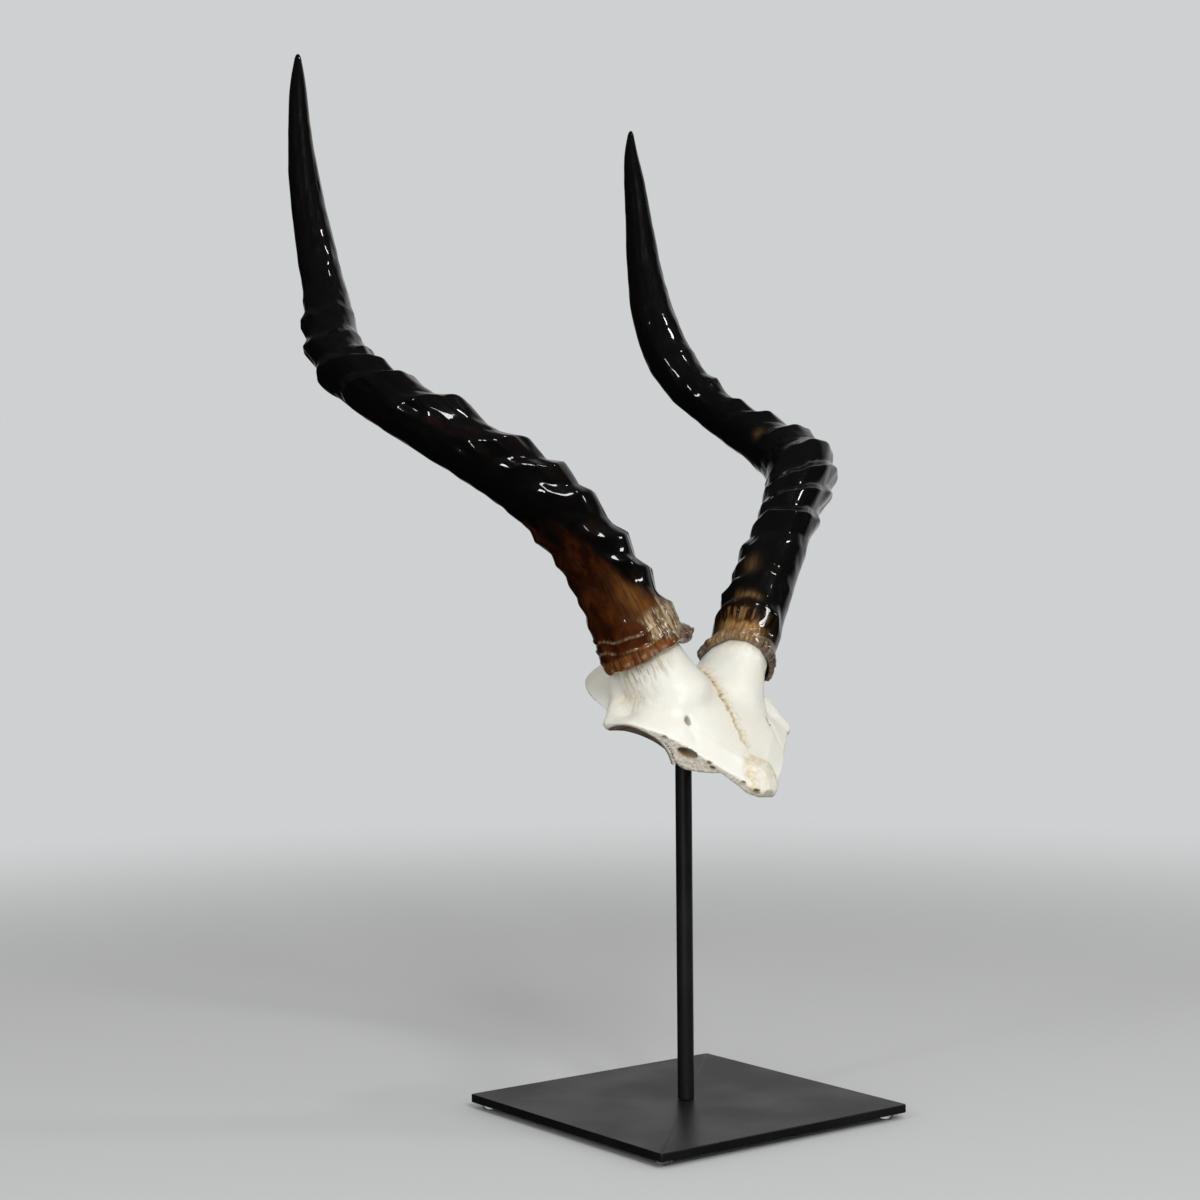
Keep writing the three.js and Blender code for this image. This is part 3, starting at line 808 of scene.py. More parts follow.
def bone_material():
    """Cleaned ivory bone with its suture, stains, sawn edge and fissures, and painted shade in the
    hollows and under the edge.
    """
    n = Nodes("bone")
    grain = n.vector("grain")
    broad = n.noise(grain, 0.03, 4.0, 0.55)
    mottle = n.noise(grain, 0.16, 4.0, 0.6)
    pores = n.cells(grain, 0.9)
    pore = n.times(n.band(pores, 0.16, 0.05), n.band(n.noise(grain, 0.11), 0.5, 0.62))
    along = n.vector("fibres")
    streaks = n.noise(along, 0.5, 4.0, 0.6)
    ivory = n.mix(n.band(broad, 0.35, 0.65), rgb(0.765, 0.755, 0.70), rgb(0.71, 0.685, 0.605))
    ivory = n.mix(n.times(n.band(mottle, 0.5, 0.72), 0.35), ivory,
                  rgb(0.72, 0.67, 0.55))
    suture_tone = n.mix(n.band(n.noise(grain, 0.5, 3.0), 0.4, 0.6), rgb(0.54, 0.39, 0.18),
                        rgb(0.25, 0.16, 0.07))
    patchy = n.band(n.noise(grain, 0.4, 4.0, 0.6), 0.34, 0.62, 0.35, 1.0)
    colour = n.mix(n.times(n.value("stain"), patchy), ivory, rgb(0.57, 0.475, 0.30))
    colour = n.mix(n.value("suture"), colour, suture_tone)
    cut_tone = n.mix(n.band(n.noise(grain, 0.7, 4.0, 0.65), 0.35, 0.65), rgb(0.26, 0.21, 0.15),
                     rgb(0.48, 0.42, 0.33))
    colour = n.mix(n.value("cut"), colour, cut_tone)
    fissure = n.times(n.value("rim"), n.band(streaks, 0.50, 0.60))
    colour = n.mix(n.times(fissure, 0.62), colour, rgb(0.40, 0.25, 0.085))
    # Painted shade: the hollows and the underside behind the sawn edge are painted dark brown
    colour = n.mix(n.times(n.value("inner"), 0.95), colour,
                   n.mix(n.band(mottle, 0.35, 0.65), rgb(0.035, 0.023, 0.013), rgb(0.13, 0.092, 0.058)))
    colour = n.mix(n.value("hole"), colour, rgb(0.19, 0.12, 0.055))
    colour = n.mix(n.times(pore, 0.35), colour, rgb(0.38, 0.28, 0.16))
    relief = bone_relief(n, grain, mottle, pore, streaks)
    rough = n.band(broad, 0.3, 0.7, 0.30, 0.42)
    rough = n.math("ADD", rough, n.times(n.value("cut"), 0.3))
    n.set(base_color=colour, roughness=rough, normal=relief, specular_ior_level=0.5,
          subsurface_weight=0.12, subsurface_radius=(0.006, 0.0035, 0.002),
          subsurface_scale=0.5)
    return n.material


def object_noise(n, scale, detail=3.0):
    """Noise in the object's own metres."""
    place = n.make("ShaderNodeTexCoord").outputs["Object"]
    return n.noise(place, scale, detail)


def black_paint_material():
    """Powder-coated steel: satin black with a very fine orange-peel."""
    n = Nodes("black_powder_coat")
    broad = object_noise(n, 22.0)
    peel = object_noise(n, 2600.0, 2.0)
    dust = n.band(object_noise(n, 900.0, 2.0), 0.66, 0.74)
    colour = n.mix(n.band(broad, 0.3, 0.7), rgb(0.0035, 0.0036, 0.0040), rgb(0.0055, 0.0056, 0.0062))
    colour = n.mix(n.times(dust, 0.12), colour, rgb(0.09, 0.09, 0.088))
    n.set(base_color=colour, roughness=n.band(broad, 0.3, 0.7, 0.36, 0.46),
          normal=n.bump(peel, 0.00004, 0.6), specular_ior_level=0.5)
    return n.material


def steel_material():
    """Zinc-plated steel with a little wear."""
    n = Nodes("zinc_steel")
    wear = object_noise(n, 1400.0)
    colour = n.mix(n.band(wear, 0.35, 0.7), rgb(0.56, 0.57, 0.58), rgb(0.40, 0.40, 0.40))
    n.set(base_color=colour, metallic=1.0, roughness=n.band(wear, 0.3, 0.7, 0.25, 0.42),
          normal=n.bump(wear, 0.00003, 0.5))
    return n.material


def clear_rubber_material():
    """Clear polyurethane of the bumper feet."""
    n = Nodes("clear_rubber")
    haze = object_noise(n, 700.0)
    colour = n.mix(n.band(haze, 0.3, 0.7), rgb(0.90, 0.92, 0.92), rgb(0.80, 0.83, 0.84))
    n.set(base_color=colour, roughness=n.band(haze, 0.3, 0.7, 0.08, 0.2),
          transmission_weight=0.92, ior=1.49, normal=n.bump(haze, 0.00003, 0.4))
    return n.material


# ---- the two horns ----


def varnish_lines(along, around, wander):
    """Two thin pale lines round the outer side of the right horn's base."""
    degrees = whole_degrees(around)
    outer = smoothstep(262, 285, degrees) + (1 - smoothstep(50, 100, degrees)) * (degrees < 180)
    lines = 0.0
    for line_at, _ in BASE_RIDGES[:2]:
        lines = lines + bell(along - base_wave(around), line_at + 0.3, 0.5)
    return outer * lines * smoothstep(-0.5, 0.5, wander)


def paint_right(obj, along, around, grain):
    """Brown outer side near the base, a pale fibrous patch in front, a rust band at the rim, and a patch
    of painted light on the amber.
    """
    wander = noise(grain, (5, 5, 14), 41)
    fine = noise(grain, (3, 3, 4), 42)
    reach = round_table([(0, 74), (37, 82), (90, 62), (140, 44), (180, 28), (217, 14), (250, 20),
                         (267, 24), (280, 31), (295, 43), (307, 54), (330, 66)], around)
    brown = 1 - smoothstep(-11, 9, along - reach - 9 * wander - 3 * fine)
    spots = smoothstep(0.35, 0.7, noise(grain, (9, 9, 13), 43)) * (along < 150)
    brown = np.maximum(brown, 0.12 * spots * smoothstep(250, 290, whole_degrees(around)))
    crust = beige_mask(along, around, grain)
    degrees = whole_degrees(around)
    from_rim = along - round_table(RIGHT_HORN["rim"], around)
    rim_band = 1 - smoothstep(4.5, 6.5, from_rim + 0.6 * fine)
    outer = np.clip(smoothstep(228, 262, degrees) + (1 - smoothstep(140, 190, degrees)), 0, 1)
    knot = bell(degrees, KNOB_AT, 30, 4) * (1 - smoothstep(5.5, 8.5, along + wander))
    lines = varnish_lines(along, around, fine)
    # Painted light: where the amber is painted brighter, as if lit through the horn
    lit = bell(degrees, 285, 30) * bell(along, 30, 13)
    beads = (1 - smoothstep(1.2, 2.4, from_rim)) * smoothstep(0.1, 0.5, noise(grain, (2.4, 2.4, 2), 44))
    curl = 1 - smoothstep(0.05, 0.22, np.abs(noise(grain, (2.6, 2.6, 1.6), 21)))
    pale = np.clip(crust + 0.6 * lines + 0.5 * beads * outer + 0.6 * knot * curl, 0, 1)
    set_values(obj, brown=brown, rust=rim_band * outer * (1 - crust), crust=pale, knot=knot,
               lit=lit)


def paint_left(obj, along, around, grain):
    """Wrinkled rim, golden and brown bands above it in front, brown patches higher up."""
    wander = noise(grain, (5, 5, 10), 51)
    fine = noise(grain, (2.2, 2.2, 5), 52)
    degrees = whole_degrees(around)
    from_rim = along - round_table(LEFT_HORN["rim"], around)
    front = bell(degrees, FRONT_AT, 44, 4)
    golden = (1 - smoothstep(10.5, 13.5, along + 2.0 * fine)) * front
    strand = smoothstep(0.0, 0.4, noise(grain, (1.1, 1.1, 12), 53))
    strands = 0.5 * strand * front * smoothstep(11, 14, along) * (1 - smoothstep(17, 18.5, along))
    band = 0.4 * bell(degrees, FRONT_AT, 24, 4) * bell(along - 2 * wander, 25, 2.4)
    patch = 0.2 * bell(degrees, 196, 14) * bell(along - 2 * wander, 43, 4.5)
    spot = 0.2 * bell(degrees, 205, 12) * bell(along, 174, 4)
    reach = round_table([(0, 20), (45, 40), (90, 44), (140, 16), (190, 20), (250, 14), (285, 8),
                         (330, 8)], around)
    brown = (1 - smoothstep(-9, 7, along - reach - 5 * wander)) * 0.75
    rim = 1 - smoothstep(3.0, 5.5, from_rim + 1.2 * wander)
    curl = 1 - smoothstep(0.05, 0.22, np.abs(noise(grain, (3.6, 3.6, 1.7), 33)))
    crust = rim * curl
    dark_side = smoothstep(255, 275, degrees) + 1 - smoothstep(130, 160, degrees)
    knot = np.clip(rim * (1 - crust) * (0.35 + 0.5 * dark_side), 0, 1)
    set_values(obj, brown=brown, tan=np.clip(golden + strands + band + patch + spot, 0, 1),
               crust=crust, knot=knot)


horn_look = horn_material()
right_horn = make_horn("horn_right", RIGHT_HORN, right_base_lumps)
paint_right(*right_horn)
piece(right_horn[0], "horn_sheath_right", horn_look)
left_horn = make_horn("horn_left", LEFT_HORN, left_base_lumps)
paint_left(*left_horn)
piece(left_horn[0], "horn_sheath_left", horn_look)

# ---- skull cap ----

# Frontal bone from the nose end backwards: distance along the cut, half width, height on the
# midline and height of the outer edge
FRONTAL = [
    (0, 4, 3.8, 2.6),
    (3, 9, 5.4, 3.4),
    (7, 12.5, 7.4, 5.2),
    (12, 18, 8.9, 6.8),
    (18, 24, 10.8, 8.4),
    (25, 30, 14.8, 10.0),
    (33, 38, 19.4, 12.2),
    (42, 46, 24.0, 12.1),
    (52, 50, 27.0, 9.5),
    (60, 50, 28.6, 4.8),
    (66, 46.5, 29.2, 1.6),
    (72, 40, 28.6, 3.0),
    (78, 33, 24.5, 5.0),
    (90, 26, 14.0, 4.0),
]
# Side of a grid cell, and the grid's corners
CELL = 0.8
SKULL_LOW = np.array([-70.0, -3.0, -15.0])
SKULL_HIGH = np.array([70.0, 128.0, 86.0])
# Along the cut: thickness of the outer edge, and how far in the lip over the orbit starts
EDGE_THICK = [(0, 3.4), (7, 3.8), (12, 3.0), (14.5, 2.6), (16, 4.2), (19, 6.4), (23, 8.8),
              (28, 10.2), (29.5, 9.4), (31, 7.2), (33, 4.9), (36, 3.4), (41, 2.8), (45, 2.4),
              (52, 2.2), (57, 2.6), (62, 2.8), (90, 2.8)]
LIP_INSET = [(0, 0), (14, 0), (20, 3), (30, 7), (55, 8.5), (62, 8), (68, 5), (76, 0)]
LIP_RISE = 0.34
LIP_WIDE = 12.0
SAW_Z = -0.3
BRAINCASE = ((0, 85, -4), (36.5, 37, 23))
BRAIN_HOLLOW = ((0, 85, -4), (33.4, 33.6, 19.6))
NASAL_HOLLOW = ((0, 44, -3), (20, 26, 17))
SIDE_HOLLOW = ((17.5, 25.5, -3), (9.5, 7.5, 9))
ORBIT = ((45, 44.5, -10.6), (20, 20, 19.9))
WALL_THICK = 1.8
ROOF_LEAN = 0.45
FRONTAL_BACK = 84.0
CORE_SHIFT = (-1.0, 0.8)
# The visual rod ends inside the thin roof of the braincase, lower than the CAD rod
ROD_D = 8.0
ROD_GAP = 0.3
ROD_TOP = 201.0
BOSS_R = 8.0
BOSS_LOW = 194.0
BOSS_COVER = 0.8
CORE_SQUEEZE = 0.94
CORE_TOP = 62.5
CORE_FOOT = -31
CUP_BACK = 66
LEFT_BROW = np.array([[45.5, 45, 10.5], [40.5, 57, 18]])
TEMPORAL_LINE = np.array([[45.2, 65.2, 1.6], [37.5, 71, 4.6], [32.5, 75.5, 8], [32, 81.5, 13.5],
                          [33, 85.5, 19]], float)

frontal_rows = np.array(FRONTAL, float)
half_at = hermite(frontal_rows[:, [0, 1]])
crown_at = hermite(frontal_rows[:, [0, 2]])
edge_at = hermite(frontal_rows[:, [0, 3]])
thick_at = hermite(EDGE_THICK)
inset_at = hermite(LIP_INSET)
horn_axes = {side: Axis(side) for side in SIDES}


def egg(p, shape, side=1):
    """Signed distance, nearly, to an ellipsoid given by its middle and radii."""
    middle, radii = shape
    q = (p - np.array(middle) * (side, 1, 1)) / radii
    k = np.sqrt((q * q).sum(-1)) + 1e-9
    k2 = np.sqrt(((q / radii) ** 2).sum(-1)) + 1e-9
    return k * (k - 1) / k2


def capsule(p, a, b, r):
    """Signed distance to a round bar from a to b."""
    along = np.clip(((p - a) @ (b - a)) / ((b - a) @ (b - a)), 0, 1)
    return np.linalg.norm(p - a - along[:, None] * (b - a), axis=1) - r


def horn_core(p, side):
    """Bone core and its spreading foot; also the distance along the horn."""
    axis = horn_axes[side]
    ends, _, _ = axis.frame(np.array([-10.0, 40.0]))
    low, high = head_to_skull(ends)
    heading = (high - low) / np.linalg.norm(high - low)
    along = (p - low) @ heading - 10
    stations = np.linspace(-40, 70, 56)
    line, outward, backward = axis.frame(stations)
    line = head_to_skull(line)
    centre = np.stack([np.interp(along, stations, line[:, k]) for k in range(3)], -1)
    rest = p - centre
    out = (SKULL_TURN.T @ outward[30])
    back = (SKULL_TURN.T @ backward[30])
    a, b = rest @ out, rest @ back
    sunk = 1 - smoothstep(-8, 4, along)
    a, b = a - CORE_SHIFT[0] * sunk, b - CORE_SHIFT[1] * sunk
    r = np.sqrt((a / (1 - SECTION_LONG)) ** 2 + (b / (1 + SECTION_LONG)) ** 2)
    shape = (r - core_radius(along, side)) * CORE_SQUEEZE
    shape = smooth_max(np.maximum(shape, along - CORE_TOP), CORE_FOOT - along, 9)
    return shape, along, np.arctan2(b, a)


def suture_line(y):
    """How far the frontal suture wanders off the midline."""
    return 0.6 * np.sin(y * 0.9) + 0.45 * np.sin(y * 2.3 + 1) + 0.4 * np.sin(y * 4.6)


def arched(wide, half, crown, edge, inset):
    """Height of the frontal bone: an arch, and the lip over the orbit that flares from it."""
    share = np.clip(wide / (half - inset), 0, 1.3)
    arch = edge + (crown - edge) * (1 - share ** 3)
    lip = edge + LIP_RISE * np.clip(half - wide, -4, LIP_WIDE)
    return smooth_max(arch, lip, 0.4 + 0.35 * inset)


def frontal_body(p, rows, top):
    """Roof, flanks, lower edge and ends of the frontal bone."""
    x, y, z = p.T
    wide = np.abs(x)
    half, _, edge, _ = rows
    slope = arched(wide + 0.5, *rows) - arched(wide - 0.5, *rows)
    roof = (z - top) / np.sqrt(1 + slope ** 2 + ROOF_LEAN ** 2)
    flank = (wide - half) * 0.75
    low = np.minimum(edge - thick_at(y), 0.25 * wide + 1)
    low = np.maximum(low, SAW_Z)
    behind = (y - FRONTAL_BACK) * 0.8
    body = smooth_max(smooth_max(roof, flank, 0.9), low - z, 0.5)
    return smooth_max(np.maximum(body, -y), behind, 4)


def grown_on(body, p):
    """Joins the horn cores, the temporal lines and the left brow to the body."""
    for side in SIDES:
        core, _, _ = horn_core(p, side)
        body = smooth_min(body, core, 6)
        mirrored = p * (side, 1, 1)
        for a, b in zip(TEMPORAL_LINE[:-1], TEMPORAL_LINE[1:]):
            body = smooth_min(body, capsule(mirrored, a, b, 2.0), 8)
    return smooth_min(body, capsule(p, *LEFT_BROW, 3.6), 5)


def hollowed(body, p, orbit):
    """Cuts the orbits and the hollows of the brain, the nose and its side chambers."""
    body = smooth_max(body, -orbit, 1.2)
    for hollow in (BRAIN_HOLLOW, NASAL_HOLLOW):
        body = smooth_max(body, -egg(p, hollow), 0.8)
    for side in SIDES:
        body = smooth_max(body, -egg(p, SIDE_HOLLOW, side), 0.8)
    return body


def orbit_cup(p, orbit, top, half):
    """Thin bony cup round each orbit, sawn off level with everything else."""
    x, y, z = p.T
    cup = smooth_max(np.abs(orbit - WALL_THICK / 2) - WALL_THICK / 2, SAW_Z - z, 0.6)
    cup = smooth_max(cup, z - top + 1, 0.6)
    cup = smooth_max(cup, np.abs(x) - half + 0.6, 0.6)
    return np.maximum(cup, y - CUP_BACK)


def with_rod_seat(body, p):
    """Adds a boss inside the braincase and bores the rod's seat into it."""
    stand = head_to_stand(skull_to_head(p))
    from_rod = np.hypot(stand[:, 0], stand[:, 1])
    boss = np.maximum(from_rod - BOSS_R, BOSS_LOW - stand[:, 2])
    boss = np.maximum(boss, egg(p, BRAINCASE) + BOSS_COVER)
    body = smooth_min(body, boss, 2)
    bore = np.maximum(from_rod - ROD_D / 2 - ROD_GAP, stand[:, 2] - ROD_TOP - ROD_GAP)
    return np.maximum(body, -bore)


def skull_field(p):
    """Signed distance, nearly, to the skull cap's surface, in the skull frame."""
    x, y, z = p.T
    rows = half_at(y), crown_at(y), edge_at(y), inset_at(y)
    top = arched(np.abs(x), *rows)
    body = smooth_min(frontal_body(p, rows, top), egg(p, BRAINCASE), 4)
    body = np.maximum(grown_on(body, p), SAW_Z - z)
    orbit = np.minimum(egg(p, ORBIT, -1), egg(p, ORBIT))
    body = hollowed(body, p, orbit)
    body = smooth_min(body, orbit_cup(p, orbit, top, rows[0]), 1.0)
    return with_rod_seat(body, p)


RUGOSE_AT = (-34.0, 66.0, 17.0)
# Holes: middle, radii, and whether there is one on each side
FORAMINA = [
    ((26.6, 38.6, 17.6), (1.1, 2.0, 3.2), True),
    ((31.6, 26.8, 8.0), (4.8, 4.8, 1.9), True),
    ((-40.3, 35.6, 11.0), (1.2, 1.2, 0.6), False),
    ((-24.7, 18.8, 7.4), (1.4, 0.9, 0.6), False),
    ((-23.0, 17.0, 5.9), (1.6, 1.3, 0.6), False),
    ((-11.8, 6.2, 4.0), (1.6, 0.9, 0.9), False),
    ((-6.4, 1.4, 2.4), (1.4, 1.6, 0.9), False),
]


def hole_field(p):
    """The nearest foramen or sinus opening."""
    nearest = np.full(len(p), 50.0)
    for place, radii, both in FORAMINA:
        for side in SIDES if both else (1,):
            nearest = np.minimum(nearest, egg(p, (place, radii), side))
    return nearest


def nasal_arch(p):
    """0 in the middle of the rough patch at the nose end, 1 at its edge."""
    ragged = 0.16 * noise(p, 3.0, 69) + 0.08 * noise(p, 1.2, 70)
    return np.hypot((p[:, 0] - 0.5) / 9.5, (p[:, 1] - 4) / 12.5) + ragged


def rugose_mask(p):
    """Rough place under the right horn, on its outer side."""
    return np.exp(-(((p - RUGOSE_AT) / 9) ** 2).sum(1))


def suture_open(y):
    """1 where the frontal suture is open, 0 past its two ends."""
    return smoothstep(19, 25, y) * (1 - smoothstep(70, 74, y))


def suture_relief(p):
    """A groove with a low uneven ridge on each side."""
    x, y, _ = p.T
    from_suture = np.abs(x - suture_line(y))
    width = np.interp(y, [20, 40, 60, 70], [0.6, 0.85, 1.35, 1.9])
    groove = bell(from_suture, 0, width)
    ridge = 0.35 * bell(from_suture, 2.2 * width, 1.1 * width) * (1 + 0.8 * noise(p, 1.5, 61))
    return suture_open(y) * (groove - ridge)


def nasal_relief(p):
    """The rough sunken patch at the nose end, with its raised rim."""
    arch = nasal_arch(p)
    near_top = smoothstep(0, 2, p[:, 2])
    patch = near_top * (0.3 * bell(arch, 1.05, 0.1) - 0.5 * (1 - smoothstep(0.6, 1.0, arch)))
    return patch + 0.16 * noise(p, 1.4, 68) * (arch < 1)


def side_relief(p, side):
    """On one side: the groove in front of the supraorbital hole, and grain round the horn."""
    x, y, z = p.T
    from_groove = (side * x - 27.4 + 0.02 * (39 - y)) / 2.0
    fade = smoothstep(23, 31, y) * (1 - smoothstep(38, 42, y))
    groove = 0.55 * fade * bell(from_groove, 0, 1) * smoothstep(9, 12, z)
    _, along, around = horn_core(p, side)
    near = smoothstep(-15, -3, along) * (1 - smoothstep(4, 8, along))
    lateral = 0.4 + 0.6 * smoothstep(-0.3, 0.7, np.cos(around))
    place = np.stack([16 * np.cos(around), 16 * np.sin(around), along / 4], -1)
    return groove + 0.35 * near * lateral * noise(place, 1.3, 62 + side)


def fine_relief(p):
    """How far the surface is sunk below its smooth shape: suture, patches and pitting."""
    rugose = rugose_mask(p) * 1.3 * np.abs(noise(p, 2.2, 65)) ** 0.6
    swell = 0.25 * noise(p, 11, 66) + 0.08 * noise(p, 4, 67)
    sides = side_relief(p, -1) + side_relief(p, 1)
    return suture_relief(p) + nasal_relief(p) + sides + rugose + swell


def surface_nets(field, low, cell):
    """Closed quad mesh of a grid's zero level: one point in each cell that it crosses."""
    inside = field < 0
    shape = np.array(field.shape)
    cells = shape - 1
    sums = np.zeros((int(np.prod(cells)), 3))
    counts = np.zeros(int(np.prod(cells)))
    stride = np.array([cells[1] * cells[2], cells[2], 1])
    quads = []
    for axis in range(3):
        near = [slice(None)] * 3
        far = [slice(None)] * 3
        near[axis] = slice(0, -1)
        far[axis] = slice(1, None)
        crossing = inside[tuple(near)] != inside[tuple(far)]
        at = np.argwhere(crossing)
        a = field[tuple(near)][crossing]
        b = field[tuple(far)][crossing]
        place = at.astype(float)
        place[:, axis] += a / (a - b)
        u, v = [k for k in range(3) if k != axis]
        corners = []
        for du, dv in ((1, 1), (0, 1), (0, 0), (1, 0)):
            cell_id = at.copy()
            cell_id[:, u] -= du
            cell_id[:, v] -= dv
            flat = cell_id @ stride
            np.add.at(sums, flat, place)
            np.add.at(counts, flat, 1)
            corners.append(flat)
        quad = np.stack(corners, -1)
        turn = (a < 0) == (axis != 1)
        quad[~turn] = quad[~turn][:, ::-1]
        quads.append(quad)
    used = np.flatnonzero(counts)
    index = np.full(len(counts), -1)
    index[used] = np.arange(len(used))
    points = sums[used] / counts[used, None] * cell + low
    return points, index[np.concatenate(quads)]


def gradient(function, p, step=0.15):
    """Slope of a field at each point, by small steps to both sides."""
    out = np.zeros_like(p)
    for k in range(3):
        shift = np.zeros(3)
        shift[k] = step
        out[:, k] = (function(p + shift) - function(p - shift)) / (2 * step)
    return out


def skull_grid():
    """Mesh of the skull with its holes, before its points are settled on the surface."""
    axes = [np.arange(SKULL_LOW[k], SKULL_HIGH[k] + CELL, CELL) for k in range(3)]
    field = np.empty([len(a) for a in axes], np.float32)
    for i, x in enumerate(axes[0]):
        y, z = np.meshgrid(axes[1], axes[2], indexing="ij")
        slab = np.stack([np.full(y.shape, x), y, z], -1).reshape(-1, 3)
        field[i] = np.maximum(skull_field(slab), -hole_field(slab)).reshape(y.shape)
    return surface_nets(field, SKULL_LOW, CELL)


def drilled(p):
    """The skull with its holes, their edges eased."""
    return smooth_max(skull_field(p), -hole_field(p), 0.4)


def settled(points):
    """Points moved onto the surface by two Newton steps, and the normals there."""
    for _ in range(2):
        slope = gradient(drilled, points)
        steep = np.maximum((slope * slope).sum(1), 0.15)
        move = (drilled(points) / steep)[:, None] * slope
        far = np.linalg.norm(move, axis=1, keepdims=True)
        points = points - move * np.minimum(1, 0.5 / np.maximum(far, 1e-6))
    slope = gradient(drilled, points)
    return points, slope / np.maximum(np.linalg.norm(slope, axis=1, keepdims=True), 1e-6)


def painted_shade_mask(bare, normal):
    """Where shade is painted: the hollows, and the underside behind the sawn edge."""
    x, y, z = bare.T
    hollow = np.minimum(egg(bare, BRAIN_HOLLOW), egg(bare, NASAL_HOLLOW))
    orbit = np.minimum(egg(bare, ORBIT), egg(bare, ORBIT, -1))
    inner = 1 - smoothstep(0.5, 1.6, np.abs(np.minimum(hollow, orbit)))
    behind_edge = smoothstep(0.6, 1.6, half_at(y) - np.abs(x)) * (y < 70)
    under = 1 - smoothstep(-0.3, 0.2, normal[:, 2])
    low_down = np.maximum(1 - smoothstep(1.5, 2.5, orbit), 1 - smoothstep(4, 6, z))
    return np.maximum(inner, behind_edge * under * low_down)


def cut_mask(bare, normal, inner):
    """Sawn faces: the flat underside, and part of the band under the outer edge."""
    x, y, z = bare.T
    band = smoothstep(-1.6, -0.6, np.abs(x) - half_at(y)) * smoothstep(0.2, 0.8, edge_at(y) - z)
    sawn = 1 - smoothstep(0.3, 0.9, np.abs(z - SAW_Z))
    cut = 0.6 * band * (y < CUP_BACK) + sawn * (normal[:, 2] < -0.5)
    return np.clip(cut, 0, 1) * (1 - inner)


def suture_masks(bare, normal):
    """The suture itself, and the stain that spreads from it."""
    x, y, _ = bare.T
    from_suture = np.abs(x - suture_line(y))
    width = np.interp(y, [20, 40, 60, 70], [0.65, 0.95, 1.5, 2.2])
    suture = suture_open(y) * bell(from_suture, 0, width) * smoothstep(0.1, 0.4, normal[:, 2])
    suture *= np.interp(y, [25, 40, 55], [0.6, 0.8, 1.0])
    spread = np.interp(y, [25, 50, 68], [2.5, 3.5, 6.5])
    return suture, 0.65 * suture_open(y) * bell(from_suture, 0, spread)


def paint_skull(obj, bare, points, normal, inner):
    """Masks and texture places: bare is the smooth surface, points the one with its relief."""
    suture, stain = suture_masks(bare, normal)
    arch = nasal_arch(points)
    patch = bell(arch, 0.95, 0.2) * 0.85 + (1 - smoothstep(0.7, 1.0, arch)) * 0.5
    stain = np.clip(stain + patch, 0, 1)
    rim = np.zeros(len(points))
    fibres = points.copy()
    for side in SIDES:
        core, along, around = horn_core(points, side)
        close = smoothstep(-16, -4, along) * (core < 6)
        lateral = smoothstep(0.3, 0.95, np.cos(around + 0.35))
        rim = np.maximum(rim, close * lateral)
        stain = np.clip(stain + 0.55 * close * smoothstep(-6, 0, along), 0, 1)
        own = bare[:, 0] * side > 0
        line = np.stack([16 * np.cos(around), 16 * np.sin(around), along * 0.22], -1)
        fibres[own] = line[own]
    rugose = rugose_mask(points)
    set_vectors(obj, "grain", points)
    set_vectors(obj, "fibres", fibres)
    # The inner mask is where shade is painted on the bone
    set_values(obj, inner=inner, cut=cut_mask(bare, normal, inner), suture=suture,
               stain=np.clip(stain + 0.5 * rugose, 0, 1), rim=np.maximum(rim, rugose),
               hole=1 - smoothstep(-0.2, 0.5, hole_field(points)))


def make_skull():
    """Skull cap: the distance field's mesh, then its fine relief and its masks."""
    points, quads = skull_grid()
    bare, normal = settled(points)
    # inner marks the painted shade of the hollows and underside; the fine relief is left off there
    inner = painted_shade_mask(bare, normal)
    points = bare - normal * (fine_relief(bare) * (1 - inner))[:, None]
    obj = new_object("skull", head_to_stand(skull_to_head(points)), quads.tolist())
    paint_skull(obj, bare, points, normal, inner)
    return obj


piece(make_skull(), "skull_cap", bone_material())

# ---- stand ----

PLATE_SIDE = 150.0
PLATE_THICK = 4.0
PLATE_CORNER = 1.2
PLATE_EDGE = 0.4
CORNER_STEPS = 8
EDGE_STEPS = 5
# Faces larger than this, in square metres, are shaded flat
FLAT_FACE = 1e-4
SHARP_ANGLE = math.radians(35)
ROD_CHAMFER = 0.8
FOOT_D = 7.5
FOOT_FACE_D = 5.0
FOOT_HIGH = 3.0
FOOT_ROUND_HIGH = 1.9
FOOT_INSET = 7.0
SCREW_HOLE_R = 2.3
SINK_R = 4.3
SINK_DEEP = 2.5


def rounded_square(half, corner, steps):
    """Outline of a square, from its half side and the radius of its corners."""
    points = []
    for quarter, (sx, sy) in enumerate(((1, 1), (-1, 1), (-1, -1), (1, -1))):
        for i in range(steps + 1):
            angle = math.pi / 2 * (quarter + i / steps)
            points.append((sx * (half - corner) + corner * math.cos(angle),
                           sy * (half - corner) + corner * math.sin(angle)))
    return np.array(points)


